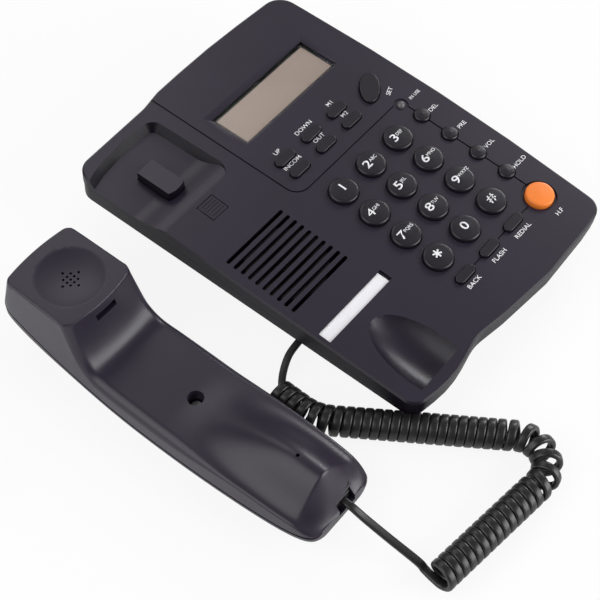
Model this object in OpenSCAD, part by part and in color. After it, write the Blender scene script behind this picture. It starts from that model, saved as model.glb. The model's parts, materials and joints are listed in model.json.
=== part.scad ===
// Corded desk telephone with a keypad base, a handset laid beside it and a curly cord.
// Frame: millimetres, origin on the desk under the middle of the base,
// +X to the user's right, +Y towards the display end, +Z up.

/* [Base] */
// Length of the base along its sloping deck
base_l = 210; // [206:1:220]
// Width of the base across its back
base_w = 157; // [154:1:164]
// How far the left side draws in towards the front
side_taper = 6; // [2:0.5:8]
// Height of the deck above the desk, half way along
deck_h = 31; // [30:0.5:36]
// Slope of the deck, rising to the back
deck_tilt = 4.1; // [3.5:0.1:5]
// Thickness of the deck
deck_t = 2.4; // [2:0.1:3]
// Depth of the upper housing at its edge
skirt_h = 7; // [6.5:0.1:8]
// Bevel along the deck's top edge
edge_bevel = 0.9; // [0.4:0.1:1.5]
// Shadow gap between the two housings
parting_gap = 0.8; // [0.6:0.1:1]
// Depth of the lower housing's lip at the back
lip_back_h = 9; // [7:0.1:9.5]
// Depth of the lower housing's lip at the front
lip_front_h = 3; // [2.8:0.1:4]
// Wall of both housings
wall = 2.4; // [2:0.1:2.8]
// How far the foot of the base stands in under the lip
foot_inset = 10.5; // [8:0.5:11]
// Overhang of the back edge behind the foot
back_overhang = 31; // [28:1:34]
// Clearance under the foot's floor
sole_h = 1.5; // [1:0.1:2]
// Diameter of the rubber feet
rubber_foot_d = 13; // [10:0.5:15]

/* [Cradle] */
// Middle of the cradle, across the base
cradle_x = -50; // [-52:0.5:-48]
// Depth of the earpiece recess at the back
ear_depth = 4.4; // [3:0.1:4.5]
// Thickness of the floor under the recesses
pan_t = 2; // [1.6:0.1:2]
// Width of the mouthpiece scoop
scoop_w = 29.2; // [26:0.2:30]
// Depth of the mouthpiece scoop
scoop_depth = 7.4; // [5:0.1:7.4]
// Length of the mouthpiece scoop
scoop_l = 39; // [36:0.5:40]
// Length of the hook switch along the cradle
hook_l = 20.5; // [18:0.5:21]
// Width of the hook switch
hook_w = 11; // [9:0.5:12]
// How far the hook switch goes down
hook_travel = 3.5; // [2.5:0.1:3.5]
// Height of the pressed hook switch above the recess floor
hook_stay = 2.1; // [0.5:0.1:2.5]
// Side of the square hanger tab
tab_side = 10.2; // [9:0.1:11]
// Thickness of the hanger tab
tab_t = 5; // [4:0.1:6]
// Number of loudspeaker slots
slot_count = 10; // [6:1:10]
// Spacing of the loudspeaker slots
slot_pitch = 4.37; // [4:0.01:4.6]
// Width of a loudspeaker slot
slot_w = 2; // [1.5:0.1:2.4]
// Length of a loudspeaker slot
slot_l = 40; // [34:0.5:41]
// Diameter of the loudspeaker
speaker_d = 40; // [36:1:40]
// Length of the index card strip
label_l = 44; // [40:0.5:46]
// Width of the index card strip
label_w = 6.8; // [6:0.1:8]

/* [Keys] */
// Spacing of the number keys across the base
key_pitch_x = 21.6; // [20:0.1:22]
// Spacing of the number keys along the base
key_pitch_y = 19; // [18:0.1:19.4]
// Diameter of a number key
key_d = 14.8; // [13:0.1:15.4]
// Diameter of a small round key
small_key_d = 8.3; // [7:0.1:9]
// Diameter of the hands-free key
hands_free_d = 14.4; // [12:0.1:15]
// Length of an oblong key
oblong_l = 12.4; // [10:0.1:13]
// Width of an oblong key
oblong_w = 5; // [4:0.1:5.5]
// Height of the number keys above the deck
key_proud = 2.2; // [1.8:0.1:3]
// Height of the small keys above the deck
small_proud = 1.4; // [1:0.1:2]
// Travel of every key
key_travel = 1.5; // [1:0.1:1.6]
// Clearance round a key in its hole
key_gap = 0.4; // [0.3:0.05:0.5]

/* [Display] */
// Width of the display window
lcd_w = 69.5; // [64:0.5:70]
// Depth of the display window
lcd_d = 24; // [20:0.5:26]
// Thickness of the display window
lens_t = 1.5; // [1:0.1:1.8]
// How deep the back of the window lies under the deck
lens_sink = 1.5; // [0.8:0.1:1.8]

/* [Handset] */
// Height of the earpiece face above the desk
ear_h = 48; // [46:0.5:52]
// Height of the grip's inner side above the desk
grip_h = 20; // [19:0.5:22]
// Height of the ridge at the mouthpiece
mouth_h = 37; // [34:0.5:38]
// Width of the grip
grip_w = 47.4; // [45:0.2:47.6]
// Height of the seam above the handset's back
seam_h = 7.2; // [6:0.1:8]
// Diameter of the earpiece dish
dish_d = 33; // [30:0.5:34]
// Depth of the earpiece dish
dish_depth = 2; // [1.5:0.1:2.2]
// Diameter of the receiver capsule
receiver_d = 33; // [30:0.5:33]
// Diameter of the recessed screw hole in the grip
screw_hole_d = 7; // [6.8:0.1:8]

/* [Cord] */
// Diameter of the cord
wire_d = 3.6; // [3.2:0.1:3.6]
// Outer diameter of the curls
curl_d = 14.4; // [14:0.1:15]
// Spacing of the curls where the cord lies straight
curl_pitch = 4.25; // [4.25:0.05:4.6]
// Width of a modular plug
plug_w = 9.4; // [9:0.1:9.6]
// Height of a modular plug
plug_h = 6.4; // [6:0.1:6.6]

/* [Fits] */
// Play between pieces that slide or lift out
slide_gap = 0.35; // [0.3:0.05:0.5]
// Play between pieces that are pressed or glued together
seat_gap = 0.1; // [0.05:0.05:0.2]

/* [Hidden] */
$fn = 48;
body_colour = [0.25, 0.24, 0.28];
key_colour = [0.16, 0.15, 0.18];
cord_colour = [0.1, 0.1, 0.11];

// Places along the base are drawn for plan_l and stretch with its length
plan_l = 210;
fit_y = base_l / plan_l;
left_x = -base_w / 2;
right_x = base_w / 2;
front_y = -base_l / 2;
back_y = base_l / 2;
// Outline of the base on the deck plane: x, y and corner radius, anticlockwise from the front left
base_plan = [
    [left_x + side_taper, front_y + 5.5, 8], [cradle_x + 2, front_y + 1.5, 60],
    [cradle_x + 26, front_y + 6.5, 25], [cradle_x + 77, front_y - 1.5, 250],
    [right_x - 2.6, front_y + 3.5, 9], [right_x + 3.9, 0, 1350], [right_x - 2.9, back_y - 1.6, 11],
    [22, back_y + 1.8, 500], [-16, back_y + 0.9, 25], [-28, back_y - 1.2, 25], [left_x, back_y - 2.5, 9]
];

// Earpiece recess: it runs out over the left side and rises to the deck at its front
ear_back_y = back_y - 7.5;
ear_right_x = cradle_x + 23;
ear_run = 52 * fit_y;
ear_rise = 20 * fit_y;
ear_plan = [
    [left_x - 10, ear_back_y - ear_run - 14, 3], [ear_right_x - 11, ear_back_y - ear_run - 3, 6],
    [ear_right_x, ear_back_y - ear_run + 4, 9], [ear_right_x - 3, ear_back_y - 1, 7],
    [cradle_x, ear_back_y + 0.6, 60], [left_x + 8, ear_back_y - 1.8, 40], [left_x - 10, ear_back_y - 7, 3]
];
ear_draft = 3.6;

// Mouthpiece scoop
scoop_front_y = front_y + 9;
scoop_x = cradle_x + 0.8;
scoop_mid = 8;
scoop_r = (scoop_w * scoop_w / 4 + scoop_depth * scoop_depth) / (2 * scoop_depth);
scoop_stretch = 2 * (scoop_l - scoop_mid) / scoop_w;

// Hook switch and hanger tab
hook_y = ear_back_y - 29.1 * fit_y;
hook_x = cradle_x - 4.3;
hook_flange_t = 1.5;
hook_flange_w = 1.6;
hook_flange_l = 10;
hook_sink = 0.2;
spring_d = 7;
spring_wire_d = 0.9;
spring_turns = 6;
tab_x = cradle_x - 0.7;
tab_y = 38.6 * fit_y;
tab_floor_t = 1.6;
tab_ridges = 5;
tab_groove = [0.56, 0.35];

// Loudspeaker and index card
speaker_y = -7 * fit_y;
speaker_rim_t = 3;
speaker_h = 11;
magnet_d = 22;
label_x = cradle_x + 0.8;
label_y = -46.5 * fit_y;
card_t = 0.3;
cover_t = 0.8;
label_notch = 1.6;

// Key places on the deck: name, x, y
pad_x = 19.5;
pad_y = -31 * fit_y;
column_x = pad_x + 41.5;
row_y = pad_y - 43.6 * fit_y;
number_names = [
    ["key_1", "key_2", "key_3"], ["key_4", "key_5", "key_6"],
    ["key_7", "key_8", "key_9"], ["key_star", "key_0", "key_hash"]
];
number_keys = [for (r = [0:3], c = [0:2])
    [number_names[r][c], pad_x + (c - 1) * key_pitch_x, pad_y + (1.5 - r) * key_pitch_y * fit_y]];
small_pitch = 17.4;
small_names = ["key_delete", "key_preset", "key_volume", "key_hold"];
small_keys = [for (i = [0:3]) [small_names[i], column_x, pad_y + (28.5 - i * small_pitch) * fit_y]];
row_x = pad_x - 1.1;
row_pitch = 19.5;
row_names = ["key_back", "key_flash", "key_redial"];
menu_names = [
    ["key_up", "key_down", "key_memory_1"],
    ["key_incoming", "key_outgoing", "key_memory_2"]
];
menu_x = 14.6;
menu_y = 26.5 * fit_y;
menu_pitch_x = 20.2;
menu_pitch_y = 9.5 * fit_y;
oblong_keys = concat(
    [for (i = [0:2]) [row_names[i], row_x + (i - 1) * row_pitch, row_y]],
    [for (r = [0:1], c = [0:2])
        [menu_names[r][c], menu_x + (c - 1) * menu_pitch_x, menu_y + (0.5 - r) * menu_pitch_y]]
);
hands_free_at = [column_x - 1.2, row_y - 0.5];
set_at = [57, 27.7 * fit_y];
set_size = [19, 10.4];
set_turn = 40;
lamp_at = [column_x - 1.4, 9.5 * fit_y];
lamp_d = 4.3;
bezel_d = 7.6;

// Heights below the deck plane
flange_t = 1.2;
flange_w = 1;
flange_top = -deck_t - 0.3;
key_foot = flange_top - flange_t - 0.7;
membrane_t = 1.2;
membrane_top = key_foot - key_travel - 0.5;
board_t = 1.6;
board_top = membrane_top - membrane_t;
lip_top = -skirt_h - parting_gap;
lip_slope = atan((lip_back_h - lip_front_h) / base_l);
lip_mid_h = (lip_back_h + lip_front_h) / 2;

// Circuit board and key sheet
board_right = right_x - 2 - foot_inset - wall - 0.6;
board_x = [-16, board_right];
board_y = [-83, 80] * fit_y;
sheet_x = [-10, board_right];
sheet_y = [-82, 38] * fit_y;
post_d = 5;
posts = [for (p = [[-13.5, -80], [-13.5, 44], [-13.5, 77.5], [60, 77.5], [60, 45]]) stretched(p)];

// Display
lcd_x = 24;
lcd_front_y = 50.4 * fit_y;
lens_tilt = atan(lens_sink / lcd_d);
lcd_bevel = 4;
bevel_root = 0.3;
lens_rim = 1.6;

// Housing screws: places on the plan, all with upright bosses
screw_places = [for (p = [[-22, -80], [50, -86.5], [-32, 36], [49.5, 42.5]]) stretched(p)];
boss_d = 6;
boss_split = 12;
screw_d = 2.8;
screw_head_d = 5.4;
screw_head_h = 2.2;
screw_seat = 5.5;
screw_l = 14;

// Feet, wall hanging holes and inner pieces
foot_back_y = back_y - back_overhang;
foot_places = [for (p = [[-56, -84], [56, -86], [-56, 62], [56, 62]]) stretched(p)];
foot_sink = 1.5;
hanger_pitch = 83;
hanger_mid_y = -6.5 * fit_y;
hanger_d = 8.6;
hanger_slot_w = 4.4;
hanger_slot_l = 8;
ballast = [44, 76, 3];
ballast_at = stretched([38, -8]);
room_mic_d = 9.6;
room_mic_h = 5;
room_mic_at = stretched([38, -76]);

// Modular jacks and plugs
jack_wall = 1.5;
jack_l = 14;
plug_l = 11;
plug_proud = 0.8;
jack_w = plug_w + 2 * slide_gap + 2 * jack_wall;
jack_h = plug_h + 2 * slide_gap + 2 * jack_wall;
line_jack_x = 20;
line_jack_z = 11;
cord_jack_y = front_y + 74;
cord_jack_z = 9;
cord_jack_x = left_x + foot_inset + side_taper * (back_y - cord_jack_y) / base_l - 0.8;

// Handset, in its own frame: y along the grip towards the earpiece
hand_at = [-128.5, front_y + 95];
ear_end = 90;
mouth_end = -93;
rest_y = 5;
ear_back_r = 200;
mouth_back_r = 445;
face_front = 43.5;
face_back = 84.5;
ramp_run = 20.5;
face_bulge = 3.5;
crest_y = -82;
ridge_y = -18;
ridge_run = 48;
crest_edge_h = 22;
ridge_share = 0.85;
end_flat = 0.3;
end_bow = 3;
bow_run = 24;
grip_edge_r = 5;
ear_edge_r = 1.2;
mouth_edge_r = 2.2;
dish_y = (face_front + face_back) / 2;
ear_skin = 2.2;
receiver_h = 8;
mic_y = -68;
mic_d = 9.6;
mic_h = 6;
mic_top = mouth_h - 4;
grip_screw_y = -9;
grip_screw_seat = 11;
socket_x = 3;
socket_z = 18.5;
socket_front = mouth_end + 3.5;
slot_size = [12.6, 5, 4.2];
sound_pitch = 2.32;
sound_outer = 5.1;
sound_d = 1.3;

// Cord routes, measured from the front of the base: the lead from the base,
// the axis of the curls with its corner radii, the lead to the handset
cord_exit = [cord_jack_x - plug_proud, cord_jack_y, cord_jack_z];
curl_z = curl_d / 2 + 0.05;
lead_stub = 1.2;
base_lead_route = [
    cord_exit - [lead_stub, 0, 0], cord_exit - [5, 0, 0.3], from_front([-78.5, 73.6, 6.6]),
    from_front([-86, 70.8, 4]), from_front([-91.5, 67, 2.6])
];
curl_route = [
    from_front([-97.4, 64.5, 0]), from_front([-97.5, 42.5, 25]),
    from_front([-29.6, -57.8, 14]), from_front([-127.5, -45.9, 0])
];
hand_lead_route = [
    from_front([-121.9, -34, 3.6]), from_front([-123.2, -20, 8.6]), from_front([-124.6, -8, 14])
];
hand_lead_y = hand_at[1] + socket_front - plug_proud - slide_gap;
hand_lead_end = [hand_at[0] + socket_x, hand_lead_y, socket_z];

// Places that stretch with the base, and places that keep to its front
function stretched(p) = [p[0], p[1] * fit_y];
function from_front(p) = [p[0], front_y + p[1], p[2]];

// Plane geometry
function unit(v) = v / norm(v);
function left_of(v) = [-v[1], v[0]];
function flat(p) = [p[0], p[1]];
function turned(v, a) = [v[0] * cos(a) - v[1] * sin(a), v[0] * sin(a) + v[1] * cos(a)];

// One corner of an outline, drawn in by d and rounded with an arc about the same centre
function corner(a, p, b, d) =
    let (
        u = unit(flat(p) - flat(a)),
        v = unit(flat(b) - flat(p)),
        nu = left_of(u),
        nv = left_of(v),
        q = flat(p) + d * (nu + nv) / (1 + nu * nv),
        turn = atan2(u[0] * v[1] - u[1] * v[0], u * v),
        side = turn > 0 ? 1 : -1,
        r = max(p[2] - side * d, 1),
        centre = q - u * r * tan(abs(turn) / 2) + side * r * nu,
        steps = max(2, ceil(abs(turn) / (p[2] > 1000 ? 2 : 9)))
    )
    [for (i = [0:steps]) centre + turned(-side * r * nu, turn * i / steps)];
function outline(pts, d = 0) =
    let (n = len(pts))
    [for (i = [0:n - 1]) each corner(pts[(i + n - 1) % n], pts[i], pts[(i + 1) % n], d)];

// Solid between two outlines with as many points each
module drafted(low, high, z0, z1) {
    n = len(low);
    points = concat([for (p = low) [p[0], p[1], z0]], [for (p = high) [p[0], p[1], z1]]);
    sides = [for (i = [0:n - 1]) let (j = (i + 1) % n) each [[i, n + j, j], [i, n + i, n + j]]];
    polyhedron(points, concat([[for (i = [0:n - 1]) i]], [[for (i = [n - 1:-1:0]) n + i]], sides));
}

module deck_frame() {
    translate([0, 0, deck_h]) rotate([deck_tilt, 0, 0]) children();
}

module hand_frame() {
    translate([hand_at[0], hand_at[1], 0]) children();
}

function deck_z(y) = deck_h + y * tan(deck_tilt);

module block(x, y, z) {
    translate([x[0], y[0], z[0]]) cube([x[1] - x[0], y[1] - y[0], z[1] - z[0]]);
}

// Upright bar with round ends, centred on the origin
module stadium(l, w, h) {
    translate([-(l - w) / 2, -w / 2, 0]) cube([l - w, w, h]);
    for (s = [-1, 1]) translate([s * (l - w) / 2, 0, 0]) cylinder(d = w, h = h);
}

module ellipse_bar(size, h) {
    linear_extrude(h) polygon([for (a = [0:10:350]) [size[0] / 2 * cos(a), size[1] / 2 * sin(a)]]);
}

// Depth of the recess floor at a distance from its back: level, then up to the deck
function ear_floor(t) = ear_depth * (1 - smooth((t - ear_run + ear_rise) / ear_rise));

// Earpiece recess with its drafted wall, over a floor that rises to the deck
module ear_recess(grow) {
    reach = ear_depth + 1;
    below = grow > 0 ? pan_t : 0;
    intersection() {
        drafted(outline(ear_plan, ear_draft * (1 + 1 / ear_depth) - grow), outline(ear_plan, -grow),
            -reach - grow, 0.6);
        rotate([90, 0, 90]) linear_extrude(300, center = true) polygon(concat(
            [[ear_back_y + 10, 2], [ear_back_y + 10, -ear_depth - below]],
            [for (i = [0:10]) let (t = ear_run - ear_rise + ear_rise * i / 10)
                [ear_back_y - t, -ear_floor(t) - below]],
            [[ear_back_y - ear_run - 20, -below], [ear_back_y - ear_run - 20, 2]]));
    }
}

// Mouthpiece scoop: the low side of a long egg, ended by an upright front wall
module scoop(grow) {
    r = scoop_r + grow;
    intersection() {
        translate([scoop_x, scoop_front_y + scoop_mid, scoop_r - scoop_depth]) rotate([-90, 0, 0])
            rotate_extrude() polygon([for (a = [-90:7.5:90]) [r * cos(a), scoop_stretch * r * sin(a)]]);
        block([scoop_x - scoop_w, scoop_x + scoop_w], [scoop_front_y - grow, scoop_front_y + 2 * scoop_l],
            [-40, grow > 0 ? -0.5 : 6]);
    }
}

// Display recess: flush at its front edge, bevelled at its back and sides
module display_recess() {
    translate([lcd_x - lcd_w / 2, lcd_front_y, 0]) {
        rotate([-lens_tilt, 0, 0]) translate([lens_rim, lens_rim, -8])
            cube([lcd_w - 2 * lens_rim, lcd_d - 2 * lens_rim, 8]);
        rotate([-lens_tilt, 0, 0]) translate([0, 0, -lens_t - seat_gap])
            cube([lcd_w, lcd_d, lens_t + seat_gap + 4]);
        hull() {
            rotate([-lens_tilt, 0, 0]) translate([bevel_root, bevel_root, -bevel_root])
                cube([lcd_w - 2 * bevel_root, lcd_d - 2 * bevel_root, 0.02]);
            translate([-lcd_bevel, 0, 0.2]) cube([lcd_w + 2 * lcd_bevel, lcd_d + lcd_bevel, 0.02]);
        }
    }
}

// Fine groove that frames the keypad and links the small keys
module deck_grooves() {
    groove_w = 0.8;
    groove_deep = 0.6;
    corner_r = 8;
    line_x = cradle_x + 31;
    line_y = 11.7;
    translate([line_x, line_y + corner_r, -groove_deep]) rotate([0, 0, 90 + 2])
        translate([0, -groove_w / 2, 0]) cube([base_l, groove_w, 2]);
    translate([line_x + corner_r, line_y + corner_r, -groove_deep]) rotate([0, 0, 180])
        rotate_extrude(angle = 90) translate([corner_r - groove_w / 2, 0]) square([groove_w, 2]);
    block([line_x + corner_r, column_x], [line_y - groove_w / 2, line_y + groove_w / 2], [-groove_deep, 2]);
    block([column_x - groove_w / 2, column_x + groove_w / 2], [row_y, line_y], [-groove_deep, 2]);
    block([oblong_keys[0][1], column_x], [row_y - groove_w / 2, row_y + groove_w / 2], [-groove_deep, 2]);
}

module key_holes() {
    translate([0, 0, -10]) {
        for (k = number_keys) translate([k[1], k[2], 0]) cylinder(d = key_d + 2 * key_gap, h = 20);
        for (k = small_keys) translate([k[1], k[2], 0]) cylinder(d = small_key_d + 2 * key_gap, h = 20);
        for (k = oblong_keys) translate([k[1], k[2], 0])
            stadium(oblong_l + 2 * key_gap, oblong_w + 2 * key_gap, 20);
        translate(hands_free_at) cylinder(d = hands_free_d + 2 * key_gap, h = 20);
        translate(set_at) rotate(set_turn) ellipse_bar(set_size + 2 * key_gap * [1, 1], 20);
        translate(lamp_at) cylinder(d = lamp_d + 2 * seat_gap, h = 20);
    }
    translate([hands_free_at[0], hands_free_at[1], -0.8]) cylinder(d = hands_free_d + 3.4, h = 4);
    translate([lamp_at[0], lamp_at[1], -0.5]) cylinder(d = bezel_d, h = 4);
}

module speaker_slots() {
    for (i = [0:slot_count - 1])
        translate([cradle_x, speaker_y + (i - (slot_count - 1) / 2) * slot_pitch, -deck_t - 1])
            stadium(slot_l, slot_w, deck_t + 3);
}

module label_pocket() {
    translate([label_x - label_l / 2 - seat_gap, label_y - label_w / 2 - seat_gap, -card_t - cover_t])
        cube([label_l + 2 * seat_gap + label_notch, label_w + 2 * seat_gap, 5]);
}

module tab_square(side, z0, z1) {
    block([tab_x - side / 2, tab_x + side / 2], [tab_y - side / 2, tab_y + side / 2], [z0, z1]);
}

// Hook switch outline on the plan, with a bowed front
function hook_plan(grow) = let (w = hook_w / 2 + grow, l = hook_l / 2 + grow)
    concat([[w, l], [-w, l]], [for (i = [0:8]) let (u = -1 + i / 4) [u * w, -l - 1.2 * (1 - u * u)]]);

module hook_prism(grow, z0, z1) {
    translate([hook_x, hook_y, z0]) linear_extrude(z1 - z0) polygon(hook_plan(grow));
}

module upper_housing() {
    bevel_low = outline(base_plan);
    color(body_colour) difference() {
        union() {
            deck_frame() {
                difference() {
                    union() {
                        translate([0, 0, -skirt_h]) linear_extrude(skirt_h - edge_bevel) polygon(bevel_low);
                        drafted(bevel_low, outline(base_plan, edge_bevel), -edge_bevel, 0);
                    }
                    translate([0, 0, -skirt_h - 1]) linear_extrude(skirt_h + 1 - deck_t)
                        polygon(outline(base_plan, wall));
                }
                intersection() {
                    ear_recess(wall);
                    translate([0, 0, -skirt_h]) linear_extrude(skirt_h - 1)
                        polygon(outline(base_plan, wall / 2));
                }
                scoop(pan_t);
                tab_square(tab_side + 2 * slide_gap + 2 * tab_floor_t, -tab_t - slide_gap - tab_floor_t, -1);
                for (p = posts) translate([p[0], p[1], board_top]) cylinder(d = post_d, h = -1 - board_top);
            }
            for (p = screw_places) translate([p[0], p[1], boss_split])
                cylinder(d = boss_d, h = deck_z(p[1]) - 1.5 - boss_split);
        }
        deck_frame() {
            ear_recess(0);
            scoop(0);
            key_holes();
            display_recess();
            deck_grooves();
            speaker_slots();
            label_pocket();
            tab_square(tab_side + 2 * slide_gap, -tab_t - slide_gap, 5);
        }
        hook_prism(slide_gap, 10, hook_top + 10);
        for (p = screw_places) translate([p[0], p[1], boss_split - 1])
            cylinder(d = screw_d + 2 * seat_gap, h = screw_seat + screw_l + 1 - boss_split);
    }
}

// Lip of the lower housing: a slab between the shadow gap and a bottom of gentler slope
module lip(inset, rise) {
    deck_frame() intersection() {
        translate([0, 0, lip_top - 30]) linear_extrude(30) polygon(outline(base_plan, inset));
        translate([0, 0, lip_top - lip_mid_h + rise]) rotate([-lip_slope, 0, 0])
            translate([-150, -150, 0]) cube([300, 300, 30]);
    }
}

// Foot of the lower housing: an upright block under the lip, cut off ahead of the back edge
module foot_block() {
    intersection() {
        translate([0, 0, sole_h]) linear_extrude(deck_h + 10) polygon(outline(base_plan, foot_inset));
        block([-120, 120], [-120, foot_back_y], [0, 60]);
        deck_frame() block([-120, 120], [-130, 130], [-60, lip_top - lip_front_h / 2]);
    }
}

module foot_cavity(z) {
    intersection() {
        translate([0, 0, z]) linear_extrude(deck_h + 10) polygon(outline(base_plan, foot_inset + wall));
        block([-120, 120], [-120, foot_back_y - wall], [0, 80]);
    }
}

module hanger_hole() {
    cylinder(d = hanger_d, h = 20, center = true);
    block([-hanger_slot_w / 2, hanger_slot_w / 2], [0, hanger_slot_l], [-10, 10]);
    translate([0, hanger_slot_l, 0]) cylinder(d = hanger_slot_w, h = 20, center = true);
}

module lower_housing() {
    floor_z = sole_h + wall;
    color(body_colour) difference() {
        union() {
            difference() {
                union() {
                    lip(0.3, 0);
                    foot_block();
                }
                lip(wall + 0.3, wall);
                foot_cavity(floor_z);
            }
            for (p = screw_places) translate([p[0], p[1], sole_h])
                cylinder(d = screw_head_d + 2 * slide_gap + 2.4, h = screw_seat + 1.6 - sole_h);
            for (p = screw_places) translate([p[0], p[1], sole_h])
                cylinder(d = boss_d, h = boss_split - sole_h);
            translate([hook_x, hook_y - 4, sole_h]) cylinder(d = spring_d + 2, h = boss_split - sole_h);
        }
        for (p = foot_places) translate([p[0], p[1], -1])
            cylinder(d = rubber_foot_d + 2 * seat_gap, h = 1 + sole_h + foot_sink);
        for (s = [-0.5, 0.5]) translate([0, hanger_mid_y + s * hanger_pitch, floor_z]) hanger_hole();
        for (p = screw_places) translate([p[0], p[1], 0]) {
            cylinder(d = screw_head_d + 2 * slide_gap, h = screw_seat);
            cylinder(d = screw_d + 2 * seat_gap, h = boss_split + 1);
        }
        translate([room_mic_at[0], room_mic_at[1], 0]) cylinder(d = 2, h = 10);
        jack_window(line_jack_x, foot_back_y, line_jack_z, 0);
        jack_window(cord_jack_x, cord_jack_y, cord_jack_z, 90);
        deck_frame() scoop(pan_t + seat_gap);
    }
}

// Window in a wall for a jack whose mouth looks along +Y before it is turned
module jack_window(x, y, z, turn) {
    w = jack_w / 2 + seat_gap;
    h = jack_h / 2 + seat_gap;
    translate([x, y, z]) rotate([0, 0, turn]) block([-w, w], [-jack_l / 2, 6], [-h, h]);
}

// Modular jack: a box with a mouth for the plug, looking along +Y
module jack_body() {
    difference() {
        block([-jack_w / 2, jack_w / 2], [-jack_l, 0], [-jack_h / 2, jack_h / 2]);
        block([-plug_w / 2 - slide_gap, plug_w / 2 + slide_gap], [-plug_l - 0.4, 1],
            [-plug_h / 2 - slide_gap, plug_h / 2 + slide_gap]);
    }
}

// Modular plug: its block in the mouth of a jack and the latch bent back over it
module plug_body() {
    block([-plug_w / 2, plug_w / 2], [-plug_l, plug_proud], [-plug_h / 2, plug_h / 2 - 1]);
    block([-plug_w / 4, plug_w / 4], [-plug_l, plug_proud - 2], [plug_h / 2 - 1, plug_h / 2]);
}

module line_jack() {
    color("dimgray") translate([line_jack_x, foot_back_y + 0.4, line_jack_z]) jack_body();
}

module cord_jack() {
    color("dimgray") translate([cord_jack_x, cord_jack_y, cord_jack_z]) rotate([0, 0, 90]) jack_body();
}

module base_plug() {
    color("dimgray") translate([cord_jack_x, cord_jack_y, cord_jack_z]) rotate([0, 0, 90]) plug_body();
}

module display_window() {
    color([0.62, 0.58, 0.54, 0.6]) deck_frame() translate([lcd_x - lcd_w / 2, lcd_front_y, 0])
        rotate([-lens_tilt, 0, 0])
            block([seat_gap, lcd_w - seat_gap], [seat_gap, lcd_d - seat_gap], [-lens_t - seat_gap, 0]);
}

module display_panel() {
    color([0.5, 0.52, 0.47]) deck_frame() difference() {
        block([lcd_x - lcd_w / 2 + lens_rim + 0.3, lcd_x + lcd_w / 2 - lens_rim - 0.3],
            [lcd_front_y + lens_rim + 0.3, lcd_front_y + lcd_d - lens_rim - 0.3], [board_top, 0]);
        translate([lcd_x - lcd_w / 2, lcd_front_y, 0]) rotate([-lens_tilt, 0, 0])
            translate([-5, -5, -lens_t - seat_gap]) cube([lcd_w + 10, lcd_d + 10, 20]);
    }
}

module main_board() {
    color("darkgreen") difference() {
        deck_frame() block(board_x, board_y, [board_top - board_t, board_top]);
        for (p = screw_places) translate([p[0], p[1], 0]) cylinder(d = boss_d + 2, h = 60);
    }
}

module key_sheet() {
    color("gray") deck_frame() block(sheet_x, sheet_y, [board_top, membrane_top]);
}

module loudspeaker() {
    color("black") deck_frame() translate([cradle_x, speaker_y, -deck_t]) rotate_extrude()
        polygon([[0, -3], [speaker_d / 2 - 3, 0], [speaker_d / 2, 0], [speaker_d / 2, -speaker_rim_t],
            [magnet_d / 2 + 2, -speaker_h + 5], [magnet_d / 2, -speaker_h + 5], [magnet_d / 2, -speaker_h],
            [0, -speaker_h]]);
}

module in_use_lamp() {
    color([0.3, 0.1, 0.1]) deck_frame() translate([lamp_at[0], lamp_at[1], 0]) rotate_extrude()
        polygon(concat(
            [[0, -deck_t - 1], [lamp_d / 2 + 1, -deck_t - 1],
             [lamp_d / 2 + 1, -deck_t], [lamp_d / 2, -deck_t]],
            [for (a = [0:15:90]) [lamp_d / 2 * cos(a), -0.6 + lamp_d / 2 * sin(a)]]));
}

module room_microphone() {
    color("black") translate([room_mic_at[0], room_mic_at[1], sole_h + wall])
        cylinder(d = room_mic_d, h = room_mic_h);
}

module ballast_plate() {
    color("gray") translate([ballast_at[0] - ballast[0] / 2, ballast_at[1] - ballast[1] / 2, sole_h + wall])
        cube(ballast);
}

module index_card() {
    color("white") deck_frame() block([label_x - label_l / 2, label_x + label_l / 2],
        [label_y - label_w / 2, label_y + label_w / 2], [-card_t - cover_t, -cover_t]);
}

module index_cover() {
    color([0.9, 0.9, 0.9, 0.3]) deck_frame() block([label_x - label_l / 2, label_x + label_l / 2],
        [label_y - label_w / 2, label_y + label_w / 2], [-cover_t, 0]);
}

module rubber_feet() {
    color("black") for (p = foot_places) translate([p[0], p[1], 0])
        cylinder(d = rubber_foot_d, h = sole_h + foot_sink);
}

module housing_screws() {
    color("silver") for (p = screw_places) translate([p[0], p[1], screw_seat]) {
        cylinder(d = screw_d, h = screw_l - 1);
        translate([0, 0, -screw_head_h]) cylinder(d = screw_head_d, h = screw_head_h);
    }
}

// Round key: a cap with a rounded rim over a flange that stays under the deck
module round_key(d, proud) {
    rim = 0.9;
    deck_frame() rotate_extrude() polygon(concat(
        [[0, key_foot], [d / 2 - 1, key_foot], [d / 2 - 1, flange_top - flange_t],
         [d / 2 + flange_w, flange_top - flange_t], [d / 2 + flange_w, flange_top], [d / 2, flange_top]],
        [for (a = [0:22.5:90]) [d / 2 - rim + rim * cos(a), proud - rim + rim * sin(a)]],
        [[0, proud + 0.3]]));
}

module at_key(k) {
    s = deck_tilt;
    translate([k[1], k[2] * cos(s), k[2] * sin(s)]) children();
}

module number_key(k) {
    color(key_colour) at_key(k) round_key(key_d, key_proud);
}

module small_key(k) {
    color(key_colour) at_key(k) round_key(small_key_d, small_proud);
}

module key_hands_free() {
    color([0.96, 0.5, 0.18]) at_key(concat([""], hands_free_at)) round_key(hands_free_d, key_proud);
}

module oblong_key(k) {
    color(key_colour) deck_frame() translate([k[1], k[2], 0]) {
        translate([0, 0, key_foot]) stadium(oblong_l, oblong_w, small_proud - key_foot);
        translate([0, 0, flange_top - flange_t])
            stadium(oblong_l + 2 * flange_w, oblong_w + 2 * flange_w, flange_t);
    }
}

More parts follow.
